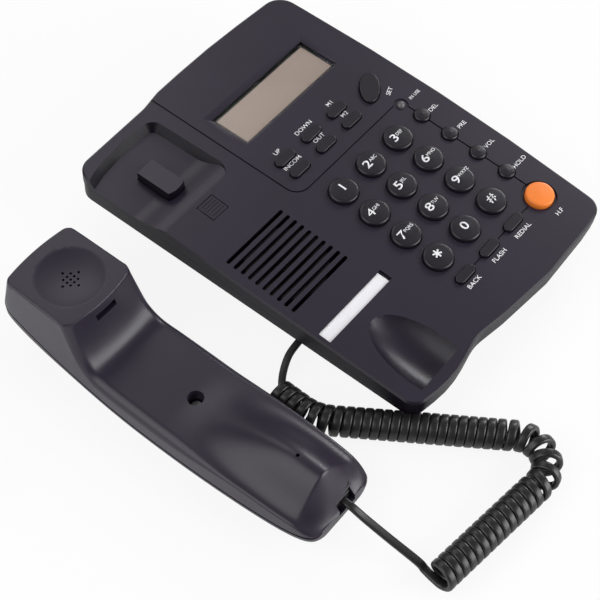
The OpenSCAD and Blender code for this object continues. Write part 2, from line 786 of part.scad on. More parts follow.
module key_set() {
    color(key_colour) deck_frame() translate([set_at[0], set_at[1], 0]) rotate([0, 0, set_turn]) {
        translate([0, 0, key_foot]) ellipse_bar(set_size, small_proud - key_foot);
        translate([0, 0, flange_top - flange_t])
            ellipse_bar(set_size + 2 * flange_w * [1, 1], flange_t);
    }
}

// The hook switch stands up through the recess floor, and its flange keeps it from coming out
function ear_floor_z(y) = deck_z(y) - ear_floor(ear_back_y - y);
hook_top = ear_floor_z(hook_y) + hook_travel + hook_stay;
hook_front_y = hook_y - hook_l / 2;
hook_foot = min([for (y = [hook_front_y:0.5:hook_front_y + hook_flange_l]) ear_floor_z(y)])
    - pan_t / cos(deck_tilt) - slide_gap - hook_sink;
hook_low = hook_foot + hook_sink - hook_flange_t;

module hook_switch() {
    color(key_colour) {
        hook_prism(0, hook_foot, hook_top);
        translate([hook_x, hook_front_y + hook_flange_l / 2, hook_low])
            block([-hook_w / 2 - hook_flange_w, hook_w / 2 + hook_flange_w],
                [-hook_flange_l / 2, hook_flange_l / 2], [0, hook_flange_t]);
    }
}

module hook_spring() {
    r = (spring_d - spring_wire_d) / 2;
    rise = hook_low - slide_gap - boss_split - spring_wire_d;
    steps = spring_turns * 8;
    path = [for (i = [0:steps])
        [r * cos(i * 45), r * sin(i * 45), boss_split + spring_wire_d / 2 + rise * i / steps]];
    color("silver") translate([hook_x, hook_y - 4, 0]) tube(path, spring_wire_d, 6);
}

module hanger_tab() {
    color(body_colour) deck_frame() difference() {
        tab_square(tab_side, -tab_t, 0);
        for (i = [1:tab_ridges])
            block([tab_x - tab_side / 2 + 1, tab_x + tab_side / 2 - 1],
                [tab_y + (i / (tab_ridges + 1) - 0.5) * tab_side - tab_groove[0] / 2,
                 tab_y + (i / (tab_ridges + 1) - 0.5) * tab_side + tab_groove[0] / 2], [-tab_groove[1], 1]);
    }
}

// Handset forms along the grip
function smooth(u) = let (t = min(max(u, 0), 1)) t * t * (3 - 2 * t);
function share(a, b, u) = a + (b - a) * u;
function back_h(y) = pow(y - rest_y, 2) / (2 * (y > rest_y ? ear_back_r : mouth_back_r));
function seam_z(y) = back_h(y) + seam_h;
function superround(u, n) = pow(1 - pow(u, n), 1 / n);
function end_round(y) = y > 0 ? superround(y / (ear_end + end_flat), 14)
    : superround(y / (mouth_end - end_flat), 6);
function half_w(y) = (grip_w / 2 - 0.0002 * pow(y + 5, 2)) * end_round(y);

// Height of the inner side on the middle line, and at its edges
function ear_top(y) = y < face_front - ramp_run ? grip_h
    : y < face_front ? share(grip_h, ear_h, pow((y - face_front + ramp_run) / ramp_run, 4))
    : y < face_back ? ear_h
    : share(ear_h, seam_z(ear_end) + 1.5, (y - face_back) / (ear_end - face_back));
function mouth_top(y, high) = y > crest_y ? share(grip_h, high, smooth((ridge_y - y) / ridge_run))
    : share(high, seam_z(mouth_end) + 1.5, (crest_y - y) / (crest_y - mouth_end));
function ridge(u) = abs(u) < ridge_share ? (1 + cos(180 * u / ridge_share)) / 2 : 0;
function top_h(y, u) = y > 0 ? ear_top(y - (y < face_front + 8 ? face_bulge * u * u : 0))
    : share(mouth_top(y, crest_edge_h), mouth_top(y, mouth_h), ridge(u));
function edge_r(y) = y > 0 ? share(grip_edge_r, ear_edge_r, smooth((y - 33) / 11))
    : share(grip_edge_r, mouth_edge_r, smooth((-15 - y) / 45));
function draft(y) = y > 0 ? 0.02 * smooth((y - 20) / 30) : 0.05 * smooth((-20 - y) / 40);

// How far the earpiece end stands out beside its corners
function bow(y, x) = end_bow * (1 - pow(2 * x / grip_w, 2)) * smooth((y - ear_end + bow_run) / bow_run);

// Half of the front shell's section at y, from the seam up and over to the middle
function front_half(y) =
    let (
        w = half_w(y),
        z0 = seam_z(y),
        z1 = max(top_h(y, 1), z0 + 0.4),
        r = min(edge_r(y), (z1 - z0) * 0.8),
        x1 = w - draft(y) * (z1 - z0)
    )
    concat(
        [[w, z0], [share(w, x1, 0.45), share(z0, z1 - r, 0.5)]],
        [for (a = [0:30:60]) [x1 - r + r * cos(a), z1 - r + r * sin(a)]],
        [for (k = [0:6]) let (x = (x1 - r) * (1 - k / 6)) [x, max(top_h(y, x / w), z0 + 0.4)]]
    );
function back_half(y) =
    let (w = half_w(y), z0 = back_h(y), z1 = seam_z(y), r = seam_h * 0.85)
    concat([[w, z1]], [for (a = [0:22.5:90]) [w - r + r * cos(a), z0 + r - r * sin(a)]], [[0, z0]]);
function whole(half) = let (n = len(half))
    concat(half, [for (i = [n - 2:-1:0]) [-half[i][0], half[i][1]]]);

// Stations along the handset: close where the form changes quickly
stations = concat(
    [for (y = [mouth_end:1.6:mouth_end + 4.9]) y], [for (y = [-86:2:crest_y]) y], [-80, -76],
    [for (y = [-70:8:-14]) y], [0, 10, 18], [for (y = [24:3:36]) y], [for (y = [38:1.5:face_front + 4]) y],
    [52, 60, 70, 78], [for (y = [face_back - 1.5:1.5:ear_end - 0.5]) y], [ear_end]
);

// Solid through the sections at the stations, ended by flat faces
module loft(sections, flip) {
    n = len(sections[0]);
    m = len(sections);
    points = [for (i = [0:m - 1]) for (p = sections[i])
        [p[0], stations[i] + bow(stations[i], p[0]), p[1]]];
    sides = [for (i = [0:m - 2], j = [0:n - 1]) let (a = i * n + j, b = i * n + (j + 1) % n)
        each (flip ? [[a, b, b + n], [a, b + n, a + n]] : [[b, a, b + n], [b + n, a, a + n]])];
    first = [for (j = [0:n - 1]) flip ? n - 1 - j : j];
    last = [for (j = [0:n - 1]) (m - 1) * n + (flip ? j : n - 1 - j)];
    polyhedron(points, concat([first], [last], sides));
}

module socket_room(grow) {
    translate([socket_x, socket_front, socket_z]) {
        block([-jack_w / 2 - grow, jack_w / 2 + grow], [-0.01, jack_l + grow],
            [-jack_h / 2 - grow, jack_h / 2 + grow]);
        block([-plug_w / 2 - 0.6, plug_w / 2 + 0.6], [-10, 1], [-plug_h / 2 - 0.6, plug_h / 2 + 0.6]);
    }
}

module sound_holes() {
    for (i = [-1:1], j = [-1:1]) translate([i, j, 0] * sound_pitch) cylinder(d = sound_d, h = 20);
    for (a = [0:90:270]) rotate(a) translate([sound_outer, 0, 0]) cylinder(d = sound_d, h = 20);
}

module handset_front_shell() {
    dish_r = (dish_d * dish_d / 4 + dish_depth * dish_depth) / (2 * dish_depth);
    pocket_top = ear_h - dish_depth - ear_skin;
    color(body_colour) hand_frame() difference() {
        loft([for (y = stations) whole(front_half(y))], true);
        translate([0, dish_y, ear_h - dish_depth + dish_r]) sphere(r = dish_r, $fn = 96);
        translate([0, dish_y, 5]) cylinder(d = receiver_d + 2 * seat_gap, h = pocket_top - 5);
        translate([0, dish_y, pocket_top - 1]) sound_holes();
        translate([-slot_size[0] / 2, face_front - 3.5, ear_h - 8]) cube(slot_size);
        translate([0, grip_screw_y, grip_screw_seat]) cylinder(d = screw_hole_d, h = 30);
        translate([0, grip_screw_y, 0]) cylinder(d = screw_d + 2 * seat_gap, h = 30);
        translate([0, mic_y, 5]) cylinder(d = mic_d + 2 * seat_gap, h = mic_top - 5);
        translate([0, mic_y, mic_top - 1]) cylinder(d = 1.8, h = 20);
        socket_room(seat_gap);
    }
}

module handset_back_shell() {
    color(body_colour) hand_frame() difference() {
        loft([for (y = stations) whole(back_half(y))], false);
        translate([0, grip_screw_y, 3]) cylinder(d = screw_d + 2 * seat_gap, h = 30);
        socket_room(seat_gap);
    }
}

module receiver_capsule() {
    top = ear_h - dish_depth - ear_skin;
    color("black") hand_frame() translate([0, dish_y, top - receiver_h])
        cylinder(d = receiver_d, h = receiver_h);
}

module handset_microphone() {
    color("black") hand_frame() translate([0, mic_y, mic_top - mic_h]) cylinder(d = mic_d, h = mic_h);
}

module handset_socket() {
    color("dimgray") hand_frame() translate([socket_x, socket_front, socket_z])
        rotate([0, 0, 180]) jack_body();
}

module handset_screw() {
    color("silver") hand_frame() translate([0, grip_screw_y, 0]) {
        translate([0, 0, 3.5]) cylinder(d = screw_d, h = grip_screw_seat - 3.5);
        translate([0, 0, grip_screw_seat]) cylinder(d = screw_head_d, h = screw_head_h);
    }
}

module handset_plug() {
    color("dimgray") hand_frame() translate([socket_x, socket_front, socket_z])
        rotate([0, 0, 180]) plug_body();
}

// Tube along a path, with its sections carried on without twist
function along(path) = let (n = len(path))
    [for (i = [0:n - 1]) unit(path[min(i + 1, n - 1)] - path[max(i - 1, 0)])];
function square_to(v, t) = unit(v - (v * t) * t);
module tube(path, d, sides) {
    n = len(path);
    t = along(path);
    start = square_to(abs(t[0][2]) < 0.9 ? [0, 0, 1] : [1, 0, 0], t[0]);
    normals = [for (i = 0, v = start; i < n; i = i + 1, v = i < n ? square_to(v, t[i]) : v) v];
    points = [for (i = [0:n - 1], j = [0:sides - 1]) let (a = j * 360 / sides)
        path[i] + d / 2 * (cos(a) * normals[i] + sin(a) * cross(t[i], normals[i]))];
    faces = [for (i = [0:n - 2], j = [0:sides - 1])
        let (a = i * sides + j, b = i * sides + (j + 1) % sides)
        each [[a, a + sides, b], [b, a + sides, b + sides]]];
    first = [for (j = [0:sides - 1]) j];
    last = [for (j = [sides - 1:-1:0]) (n - 1) * sides + j];
    polyhedron(points, concat([first], [last], faces));
}

// Smooth curve through route points
function spline(p, steps) = let (n = len(p))
    concat([for (i = [0:n - 2], k = [0:steps - 1])
        let (
            a = p[max(i - 1, 0)],
            b = p[i],
            c = p[i + 1],
            d = p[min(i + 2, n - 1)],
            u = k / steps
        )
        b + 0.5 * u * (c - a + u * (2 * a - 5 * b + 4 * c - d + u * (3 * b - a - 3 * c + d)))],
    [p[n - 1]]);

// Axis of the curls: straight runs and arcs, as points with their length so far
axis_corners = concat([flat(curl_route[0])],
    [for (i = [1:len(curl_route) - 2]) each corner(curl_route[i - 1], curl_route[i], curl_route[i + 1], 0)],
    [flat(curl_route[len(curl_route) - 1])]);
axis_s = [for (i = 0, s = 0; i < len(axis_corners);
    i = i + 1, s = i < len(axis_corners) ? s + norm(axis_corners[i] - axis_corners[i - 1]) : s) s];
axis_l = axis_s[len(axis_s) - 1];
axis_x = [for (i = [0:len(axis_s) - 1]) [axis_s[i], axis_corners[i][0]]];
axis_y = [for (i = [0:len(axis_s) - 1]) [axis_s[i], axis_corners[i][1]]];
function axis_at(s) = [lookup(s, axis_x), lookup(s, axis_y)];
function axis_dir(s) = unit(axis_at(min(s + 3, axis_l)) - axis_at(max(s - 3, 0)));
function axis_bend(s) =
    let (a = axis_dir(max(s - 4, 3)), b = axis_dir(min(s + 4, axis_l - 3)))
    abs(atan2(a[0] * b[1] - a[1] * b[0], a * b)) * PI / 180 / 8;

// Curls: the pitch opens in a bend, so that the curls stay apart on its inner side
curl_r = (curl_d - wire_d) / 2;
curl_rings = 8;
function pitch_at(s) =
    curl_pitch / (1 - min(curl_r * max([for (e = [-4, 0, 4]) axis_bend(s + e)]), 0.5));
curl_s = [for (s = 0; s < axis_l - curl_pitch; s = s + pitch_at(s) / curl_rings) s];
curl_n = len(curl_s) - len(curl_s) % curl_rings;
function curl_point(i) =
    let (
        s = curl_s[i],
        d = axis_dir(s),
        a = 180 + (i - curl_n) * 360 / curl_rings
    )
    concat(axis_at(s) + left_of(d) * curl_r * sin(a), [curl_z + curl_r * cos(a)]);
curls = [for (i = [0:curl_n]) curl_point(min(i, len(curl_s) - 1))];
tail_dir = let (d = axis_dir(curl_s[min(curl_n, len(curl_s) - 1)])) [d[1], -d[0], 0];
start_dir = let (d = axis_dir(0)) [d[1], -d[0], 0];
curl_path = concat([curls[0] - start_dir * wire_d], curls, [curls[curl_n] + tail_dir * wire_d]);
curl_gap = min([for (i = [0:len(curl_path) - 6])
    for (j = [i + 5:min(i + 19, len(curl_path) - 2)]) norm(curl_path[i] - curl_path[j])]) - wire_d;
echo(curls = curl_n / curl_rings, least_gap_mm = curl_gap);

module base_lead() {
    last = curl_path[0];
    route = concat(base_lead_route, [last - start_dir * lead_stub]);
    color(cord_colour) tube(concat([cord_exit], spline(route, 3), [last]), wire_d, 8);
}

module curly_cord() {
    color(cord_colour) tube(curl_path, wire_d, 6);
}

module handset_lead() {
    start = curl_path[len(curl_path) - 1];
    route = concat([start + tail_dir * lead_stub, start + tail_dir * 5 + [0, 0, 0.4]], hand_lead_route,
        [hand_lead_end - [0, 5, 0.3], hand_lead_end - [0, lead_stub, 0]]);
    color(cord_colour) tube(concat([start], spline(route, 3), [hand_lead_end]), wire_d, 8);
}

upper_housing();
lower_housing();
display_window();
display_panel();
main_board();
key_sheet();
loudspeaker();
in_use_lamp();
room_microphone();
ballast_plate();
line_jack();
cord_jack();
index_card();
index_cover();
rubber_feet();
housing_screws();
for (k = number_keys) number_key(k);
for (k = small_keys) small_key(k);
for (k = oblong_keys) oblong_key(k);
key_hands_free();
key_set();
hook_switch();
hook_spring();
hanger_tab();
handset_front_shell();
handset_back_shell();
receiver_capsule();
handset_microphone();
handset_socket();
handset_screw();
base_plug();
base_lead();
curly_cord();
handset_lead();
handset_plug();
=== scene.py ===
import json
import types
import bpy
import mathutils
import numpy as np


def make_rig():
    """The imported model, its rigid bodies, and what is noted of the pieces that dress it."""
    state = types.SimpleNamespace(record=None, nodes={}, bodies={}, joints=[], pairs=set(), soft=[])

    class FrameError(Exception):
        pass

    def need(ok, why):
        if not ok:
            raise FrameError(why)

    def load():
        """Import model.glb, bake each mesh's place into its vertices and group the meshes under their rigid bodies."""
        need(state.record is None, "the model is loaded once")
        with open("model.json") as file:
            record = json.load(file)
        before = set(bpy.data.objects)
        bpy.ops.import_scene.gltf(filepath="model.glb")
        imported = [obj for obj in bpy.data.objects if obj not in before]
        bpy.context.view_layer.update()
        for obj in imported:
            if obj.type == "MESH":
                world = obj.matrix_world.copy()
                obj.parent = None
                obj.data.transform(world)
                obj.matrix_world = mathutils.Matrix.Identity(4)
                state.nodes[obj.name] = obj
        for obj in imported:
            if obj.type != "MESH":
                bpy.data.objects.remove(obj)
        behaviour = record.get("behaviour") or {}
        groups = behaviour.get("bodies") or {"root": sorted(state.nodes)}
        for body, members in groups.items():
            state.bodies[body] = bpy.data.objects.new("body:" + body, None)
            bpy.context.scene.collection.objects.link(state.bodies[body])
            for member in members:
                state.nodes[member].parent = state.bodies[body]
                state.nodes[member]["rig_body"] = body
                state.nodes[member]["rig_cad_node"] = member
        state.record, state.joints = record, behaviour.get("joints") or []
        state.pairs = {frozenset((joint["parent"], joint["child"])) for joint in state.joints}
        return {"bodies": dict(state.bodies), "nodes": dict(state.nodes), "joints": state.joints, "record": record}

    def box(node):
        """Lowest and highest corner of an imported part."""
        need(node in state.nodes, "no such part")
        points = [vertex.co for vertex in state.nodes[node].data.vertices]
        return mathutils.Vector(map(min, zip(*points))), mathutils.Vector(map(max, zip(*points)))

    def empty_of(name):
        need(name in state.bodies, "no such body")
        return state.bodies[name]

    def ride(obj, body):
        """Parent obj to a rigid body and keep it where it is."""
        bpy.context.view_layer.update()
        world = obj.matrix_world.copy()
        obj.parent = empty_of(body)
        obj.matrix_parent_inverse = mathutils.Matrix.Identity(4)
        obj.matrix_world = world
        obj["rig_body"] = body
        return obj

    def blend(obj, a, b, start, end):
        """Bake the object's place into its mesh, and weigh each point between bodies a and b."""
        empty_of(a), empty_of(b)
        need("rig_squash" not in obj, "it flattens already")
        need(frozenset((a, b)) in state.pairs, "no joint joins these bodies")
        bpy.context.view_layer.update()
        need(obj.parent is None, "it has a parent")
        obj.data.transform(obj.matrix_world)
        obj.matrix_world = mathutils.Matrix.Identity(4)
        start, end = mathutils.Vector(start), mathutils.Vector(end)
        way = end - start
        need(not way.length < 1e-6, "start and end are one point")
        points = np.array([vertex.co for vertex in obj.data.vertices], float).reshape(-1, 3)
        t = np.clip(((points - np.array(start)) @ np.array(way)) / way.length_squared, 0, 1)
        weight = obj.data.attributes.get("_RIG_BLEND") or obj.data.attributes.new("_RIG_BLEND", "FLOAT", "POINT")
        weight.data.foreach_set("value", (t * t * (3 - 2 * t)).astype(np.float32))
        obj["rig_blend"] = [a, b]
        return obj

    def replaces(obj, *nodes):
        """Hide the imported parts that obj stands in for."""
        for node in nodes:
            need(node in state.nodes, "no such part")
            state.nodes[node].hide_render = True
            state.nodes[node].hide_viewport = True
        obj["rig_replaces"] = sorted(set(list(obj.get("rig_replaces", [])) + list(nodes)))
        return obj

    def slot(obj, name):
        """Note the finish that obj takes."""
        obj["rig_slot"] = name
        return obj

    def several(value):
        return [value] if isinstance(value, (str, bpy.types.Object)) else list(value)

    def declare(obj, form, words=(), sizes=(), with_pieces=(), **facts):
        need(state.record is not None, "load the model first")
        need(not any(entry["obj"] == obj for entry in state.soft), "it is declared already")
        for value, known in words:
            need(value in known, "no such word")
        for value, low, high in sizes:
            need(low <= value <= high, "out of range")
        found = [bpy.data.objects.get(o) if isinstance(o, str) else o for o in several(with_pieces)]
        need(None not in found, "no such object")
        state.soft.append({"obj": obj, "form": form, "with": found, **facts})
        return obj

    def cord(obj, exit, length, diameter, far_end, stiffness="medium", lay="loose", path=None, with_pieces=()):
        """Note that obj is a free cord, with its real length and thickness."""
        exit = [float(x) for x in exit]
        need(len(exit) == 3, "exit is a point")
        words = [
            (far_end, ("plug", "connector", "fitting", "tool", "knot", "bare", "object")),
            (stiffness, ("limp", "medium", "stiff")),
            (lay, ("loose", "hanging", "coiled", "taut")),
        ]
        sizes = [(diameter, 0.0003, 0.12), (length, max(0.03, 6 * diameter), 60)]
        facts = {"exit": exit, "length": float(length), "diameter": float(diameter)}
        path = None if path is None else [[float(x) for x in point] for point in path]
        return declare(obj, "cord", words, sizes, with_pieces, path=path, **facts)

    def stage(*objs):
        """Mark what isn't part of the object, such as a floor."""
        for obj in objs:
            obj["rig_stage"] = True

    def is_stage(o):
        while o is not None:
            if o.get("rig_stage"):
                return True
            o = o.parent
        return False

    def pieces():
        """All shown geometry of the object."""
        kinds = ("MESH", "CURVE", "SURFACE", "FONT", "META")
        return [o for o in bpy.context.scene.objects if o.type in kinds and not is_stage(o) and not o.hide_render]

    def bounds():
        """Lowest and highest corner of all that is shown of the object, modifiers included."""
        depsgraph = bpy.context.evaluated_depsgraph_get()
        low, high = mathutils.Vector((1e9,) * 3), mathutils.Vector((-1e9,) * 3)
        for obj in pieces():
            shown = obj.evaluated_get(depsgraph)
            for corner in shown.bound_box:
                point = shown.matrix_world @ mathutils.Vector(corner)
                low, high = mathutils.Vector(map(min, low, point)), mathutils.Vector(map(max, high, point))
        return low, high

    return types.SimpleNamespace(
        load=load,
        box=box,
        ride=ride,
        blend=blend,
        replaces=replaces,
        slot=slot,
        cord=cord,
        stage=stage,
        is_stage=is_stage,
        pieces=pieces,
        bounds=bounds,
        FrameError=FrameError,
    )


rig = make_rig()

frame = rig.load()
CAD_BOX = [list(corner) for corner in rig.bounds()]

import json
import math

import bmesh
import bpy
from bpy.props import FloatProperty, FloatVectorProperty, IntProperty, PointerProperty
from mathutils import Matrix, Vector

bl_info = {
    "name": "Corded Desk Telephone",
    "version": (1, 0, 0),
    "blender": (4, 5, 0),
    "location": "View3D > Sidebar > Telephone",
    "description": "Dresses the packed desk telephone with its moulded, printed and wound pieces",
    "category": "Add Mesh",
}

NODES = frame["nodes"]
MM = 0.001


def length_property(name, description, default):
    return FloatProperty(name=name, description=description, default=default, unit="LENGTH")


def colour_property(name, description, default):
    return FloatVectorProperty(
        name=name, description=description, default=default, subtype="COLOR", min=0, max=1)


class TelephoneSizes(bpy.types.PropertyGroup):
    """Sizes of the pieces that are made here"""

    deck_height: length_property("Deck Height", "Height of the deck half way along", 0.031)
    deck_slope: FloatProperty(
        name="Deck Slope", description="Slope of the deck, rising to the back",
        default=math.radians(4.1), subtype="ANGLE")
    cord_diameter: length_property("Cord Diameter", "Width of the cord in its leads", 0.0036)
    curl_width: length_property("Curl Width", "Width of the cord where it is wound", 0.00412)
    curl_diameter: length_property("Curl Diameter", "Outer diameter of the cord's curls", 0.0144)
    curl_pitch: length_property("Curl Pitch", "Spacing of the curls in straight runs", 0.00425)
    cord_flatness: FloatProperty(
        name="Cord Flatness", description="Thickness of the cord as a share of its width",
        default=0.64, min=0.3, max=1.0)
    cord_corner: IntProperty(
        name="Cord Corner", description="Steps of each rounded corner of the cord's section",
        default=4, min=2, max=8)
    digit_height: length_property("Digit Height", "Height of the digits on the number keys", 0.0047)
    letter_height: length_property("Letter Height", "Height of letters beside the digits", 0.0019)
    word_height: length_property("Word Height", "Height of the words printed on the deck", 0.0024)
    print_thickness: length_property(
        "Print Thickness", "How far the printing stands above its ground", 0.00004)
    edge_rounding: length_property("Edge Rounding", "Rounding of the housings' edges", 0.00035)
    seam_groove: length_property(
        "Seam Groove", "Width of the groove between the handset's shells", 0.0013)


class TelephoneColours(bpy.types.PropertyGroup):
    """Colours of the finishes"""

    body: colour_property("Body", "Moulded housings and handset", (0.0165, 0.0118, 0.0245))
    keys: colour_property("Keys", "Number and function keys", (0.0085, 0.0065, 0.0112))
    hands_free: colour_property("Hands-Free Key", "The one coloured key", (0.88, 0.22, 0.03))
    printing: colour_property("Printing", "Digits, letters and words", (0.82, 0.82, 0.84))
    display: colour_property(
        "Display", "Ground of the liquid crystal panel", (0.354, 0.278, 0.235))
    cord: colour_property("Cord", "Cord's sheath", (0.011, 0.011, 0.012))
    card: colour_property("Index Card", "Paper strip under its cover", (0.86, 0.85, 0.88))


def sizes():
    return bpy.context.scene.telephone_sizes


def colours():
    return bpy.context.scene.telephone_colours


# Node materials, with grains and heights in metres

NOISE_SPAN = (0.3, 0.7)
CLOUD_GRAIN = 0.03
GLOSS_SPREAD = 0.06
UPRIGHT_TO_LEVEL = (0.55, 0.985)
FULL_GLOSS = 0.5
ACRYLIC_IOR = 1.49


def node_material(name):
    """A material by its name, with its tree and shader if it is new and still to be made."""
    made = bpy.data.materials.get(name)
    if made:
        return made, None, None
    made = bpy.data.materials.new(name)
    made.use_nodes = True
    tree = made.node_tree
    return made, tree, tree.nodes["Principled BSDF"]


def speckle(tree, grain, detail=2.0, stretch=(1, 1, 1)):
    """Noise of a grain size, on the piece's own coordinates."""
    place = tree.nodes.new("ShaderNodeTexCoord")
    turn = tree.nodes.new("ShaderNodeMapping")
    turn.inputs["Scale"].default_value = stretch
    noise = tree.nodes.new("ShaderNodeTexNoise")
    noise.inputs["Scale"].default_value = 1 / grain
    noise.inputs["Detail"].default_value = detail
    tree.links.new(place.outputs["Object"], turn.inputs["Vector"])
    tree.links.new(turn.outputs["Vector"], noise.inputs["Vector"])
    return noise.outputs["Fac"]


def map_range(tree, value, span, reach):
    """A value, with its span laid over the reach."""
    made = tree.nodes.new("ShaderNodeMapRange")
    for name, limit in zip(("From Min", "From Max", "To Min", "To Max"), (*span, *reach)):
        made.inputs[name].default_value = limit
    tree.links.new(value, made.inputs["Value"])
    return made.outputs["Result"]


def shade(tree, noise, colour, change):
    """The colour, made darker and lighter by a noise."""
    ramp = tree.nodes.new("ShaderNodeValToRGB")
    for stop, position, factor in zip(
            ramp.color_ramp.elements, NOISE_SPAN, (1 - change, 1 + change)):
        stop.position = position
        stop.color = [min(1, c * factor) for c in colour] + [1]
    tree.links.new(noise, ramp.inputs["Fac"])
    return ramp.outputs["Color"]


def relief(tree, noise, shader, height, strength):
    bump = tree.nodes.new("ShaderNodeBump")
    bump.inputs["Strength"].default_value = strength
    bump.inputs["Distance"].default_value = height
    tree.links.new(noise, bump.inputs["Height"])
    tree.links.new(bump.outputs["Normal"], shader.inputs["Normal"])


def painted_wall_shade(tree, tint, shader, wall_shade_level):
    """Painted shade: a darker tint and less gloss on faces that stand upright in the piece's own frame."""
    place = tree.nodes.new("ShaderNodeTexCoord")
    parts = tree.nodes.new("ShaderNodeSeparateXYZ")
    tree.links.new(place.outputs["Normal"], parts.inputs["Vector"])
    level = map_range(tree, parts.outputs["Z"], UPRIGHT_TO_LEVEL, (wall_shade_level, 1.0))
    gloss = tree.nodes.new("ShaderNodeMath")
    gloss.operation = "MULTIPLY"
    gloss.inputs[1].default_value = FULL_GLOSS
    tree.links.new(level, gloss.inputs[0])
    tree.links.new(gloss.outputs["Value"], shader.inputs["Specular IOR Level"])
    scale = tree.nodes.new("ShaderNodeVectorMath")
    scale.operation = "SCALE"
    tree.links.new(tint, scale.inputs[0])
    tree.links.new(level, scale.inputs["Scale"])
    return scale.outputs["Vector"]


def moulded(name, colour, rough, grain=0.0004, height=0.00003, strength=0.35, change=0.08,
            wall_shade_level=1.0):
    """Plastic with a fine grain, slight clouding and uneven gloss; a level below one for upright faces paints shade on
    them, darker and less glossy.
    """
    made, tree, shader = node_material(name)
    if tree is None:
        return made
    fine = speckle(tree, grain)
    tint = shade(tree, speckle(tree, CLOUD_GRAIN, detail=3.0), colour, change)
    # Painted shade: upright faces darkened and made less glossy
    if wall_shade_level < 1.0:
        tint = painted_wall_shade(tree, tint, shader, wall_shade_level)
    gloss = map_range(tree, fine, NOISE_SPAN, (rough - GLOSS_SPREAD, rough + GLOSS_SPREAD))
    tree.links.new(tint, shader.inputs["Base Color"])
    tree.links.new(gloss, shader.inputs["Roughness"])
    relief(tree, fine, shader, height, strength)
    return made


def metal(name, colour, rough):
    """Plated metal with fine drawn streaks."""
    made, tree, shader = node_material(name)
    if tree is None:
        return made
    streaks = speckle(tree, grain=0.0006, detail=3.0, stretch=(1, 1, 0.15))
    gloss = map_range(tree, streaks, NOISE_SPAN, (rough - 0.08, rough + 0.1))
    tree.links.new(shade(tree, streaks, colour, change=0.12), shader.inputs["Base Color"])
    tree.links.new(gloss, shader.inputs["Roughness"])
    shader.inputs["Metallic"].default_value = 1.0
    relief(tree, streaks, shader, height=0.00001, strength=0.2)
    return made


def clear(name, colour, rough, cover):
    """Clear plastic with faint waves; a low cover lets a thin sheet show what lies under it."""
    made, tree, shader = node_material(name)
    if tree is None:
        return made
    waves = speckle(tree, grain=0.02, detail=1.0)
    gloss = map_range(tree, waves, NOISE_SPAN, (rough, rough + 0.03))
    tree.links.new(shade(tree, waves, colour, change=0.02), shader.inputs["Base Color"])
    tree.links.new(gloss, shader.inputs["Roughness"])
    shader.inputs["Transmission Weight"].default_value = 1.0
    shader.inputs["IOR"].default_value = ACRYLIC_IOR
    shader.inputs["Alpha"].default_value = cover
    return made


BODY_ROUGH = 0.38
KEY_GRAIN = dict(grain=0.0006, height=0.00002, strength=0.2)
MOULDED = {
    "body_plastic": dict(colour="body", rough=BODY_ROUGH),
    # The housings get painted shade on their upright faces
    "housing_plastic": dict(colour="body", rough=BODY_ROUGH, wall_shade_level=0.3),
    "key_plastic": dict(colour="keys", rough=0.36, **KEY_GRAIN),
    "hands_free_plastic": dict(colour="hands_free", rough=0.4, **KEY_GRAIN),
    "print_ink": dict(
        colour="printing", rough=0.6, grain=0.0002, height=0.00001, strength=0.1, change=0.03),
    "cord_sheath": dict(
        colour="cord", rough=0.36, grain=0.0005, height=0.00002, strength=0.2, change=0.12),
    "card_paper": dict(
        colour="card", rough=0.8, grain=0.0003, height=0.00002, strength=0.3, change=0.03),
    "display_ground": dict(
        colour="display", rough=0.5, grain=0.0005, height=0.00001, strength=0.1, change=0.04),
    "rubber_foot": dict(
        colour=(0.02, 0.02, 0.021), rough=0.75, grain=0.0008, height=0.00006, strength=0.5),
    "jack_plastic": dict(colour=(0.03, 0.03, 0.032), rough=0.45),
    "plug_plastic": dict(colour=(0.016, 0.016, 0.018), rough=0.28),
    "lamp_lens": dict(
        colour=(0.11, 0.105, 0.11), rough=0.14, grain=0.002, height=0.00001, strength=0.1),
    "speaker_cone": dict(
        colour=(0.008, 0.008, 0.008), rough=0.8, grain=0.0006, height=0.0001, strength=0.6),
    "capsule_black": dict(colour=(0.02, 0.02, 0.02), rough=0.5),
    "board_dark": dict(
        colour=(0.006, 0.02, 0.012), rough=0.4, grain=0.003, height=0.00004, strength=0.5,
        change=0.3),
    "key_rubber": dict(colour=(0.25, 0.25, 0.25), rough=0.7),
}


def plastic(name):
    """A moulded finish by its name. Its colour is a property of the scene, or its own."""
    values = dict(MOULDED[name])
    colour = values.pop("colour")
    if isinstance(colour, str):
        colour = getattr(colours(), colour)
    return moulded(name, colour, **values)


def cover_sheet():
    return clear("cover_sheet", colour=(0.96, 0.96, 0.95), rough=0.12, cover=0.1)


def display_glass():
    return clear("display_glass", colour=(0.95, 0.93, 0.9), rough=0.2, cover=0.15)


def plated_steel():
    return metal("plated_steel", colour=(0.62, 0.61, 0.6), rough=0.32)


def ballast_steel():
    return metal("ballast_steel", colour=(0.32, 0.31, 0.3), rough=0.5)


# Meshes

WELD_GAP = 0.000002
FLAT_ANGLE = 0.6
FACE_WEIGHT = 80


def put(name, data):
    """A new object in the scene."""
    made = bpy.data.objects.new(name, data)
    bpy.context.scene.collection.objects.link(made)
    return made


def add_piece(name, mesh, material, body, slot=None):
    """A new piece of the scene, riding on a body unless it is to be blended."""
    mesh.materials.clear()
    mesh.materials.append(material)
    piece = put(name, mesh)
    if body:
        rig.ride(piece, body)
    if slot:
        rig.slot(piece, slot)
    return piece


def plain_mesh(piece):
    """A plain mesh of the piece with its modifiers done, and the piece itself removed."""
    bpy.context.view_layer.update()
    graph = bpy.context.evaluated_depsgraph_get()
    mesh = bpy.data.meshes.new_from_object(piece.evaluated_get(graph))
    bpy.data.objects.remove(piece)
    return mesh


def settle(form, name):
    """Mesh of a form with its faces turned outwards, and the form itself freed."""
    bmesh.ops.recalc_face_normals(form, faces=form.faces[:])
    mesh = bpy.data.meshes.new(name)
    form.to_mesh(mesh)
    form.free()
    return mesh


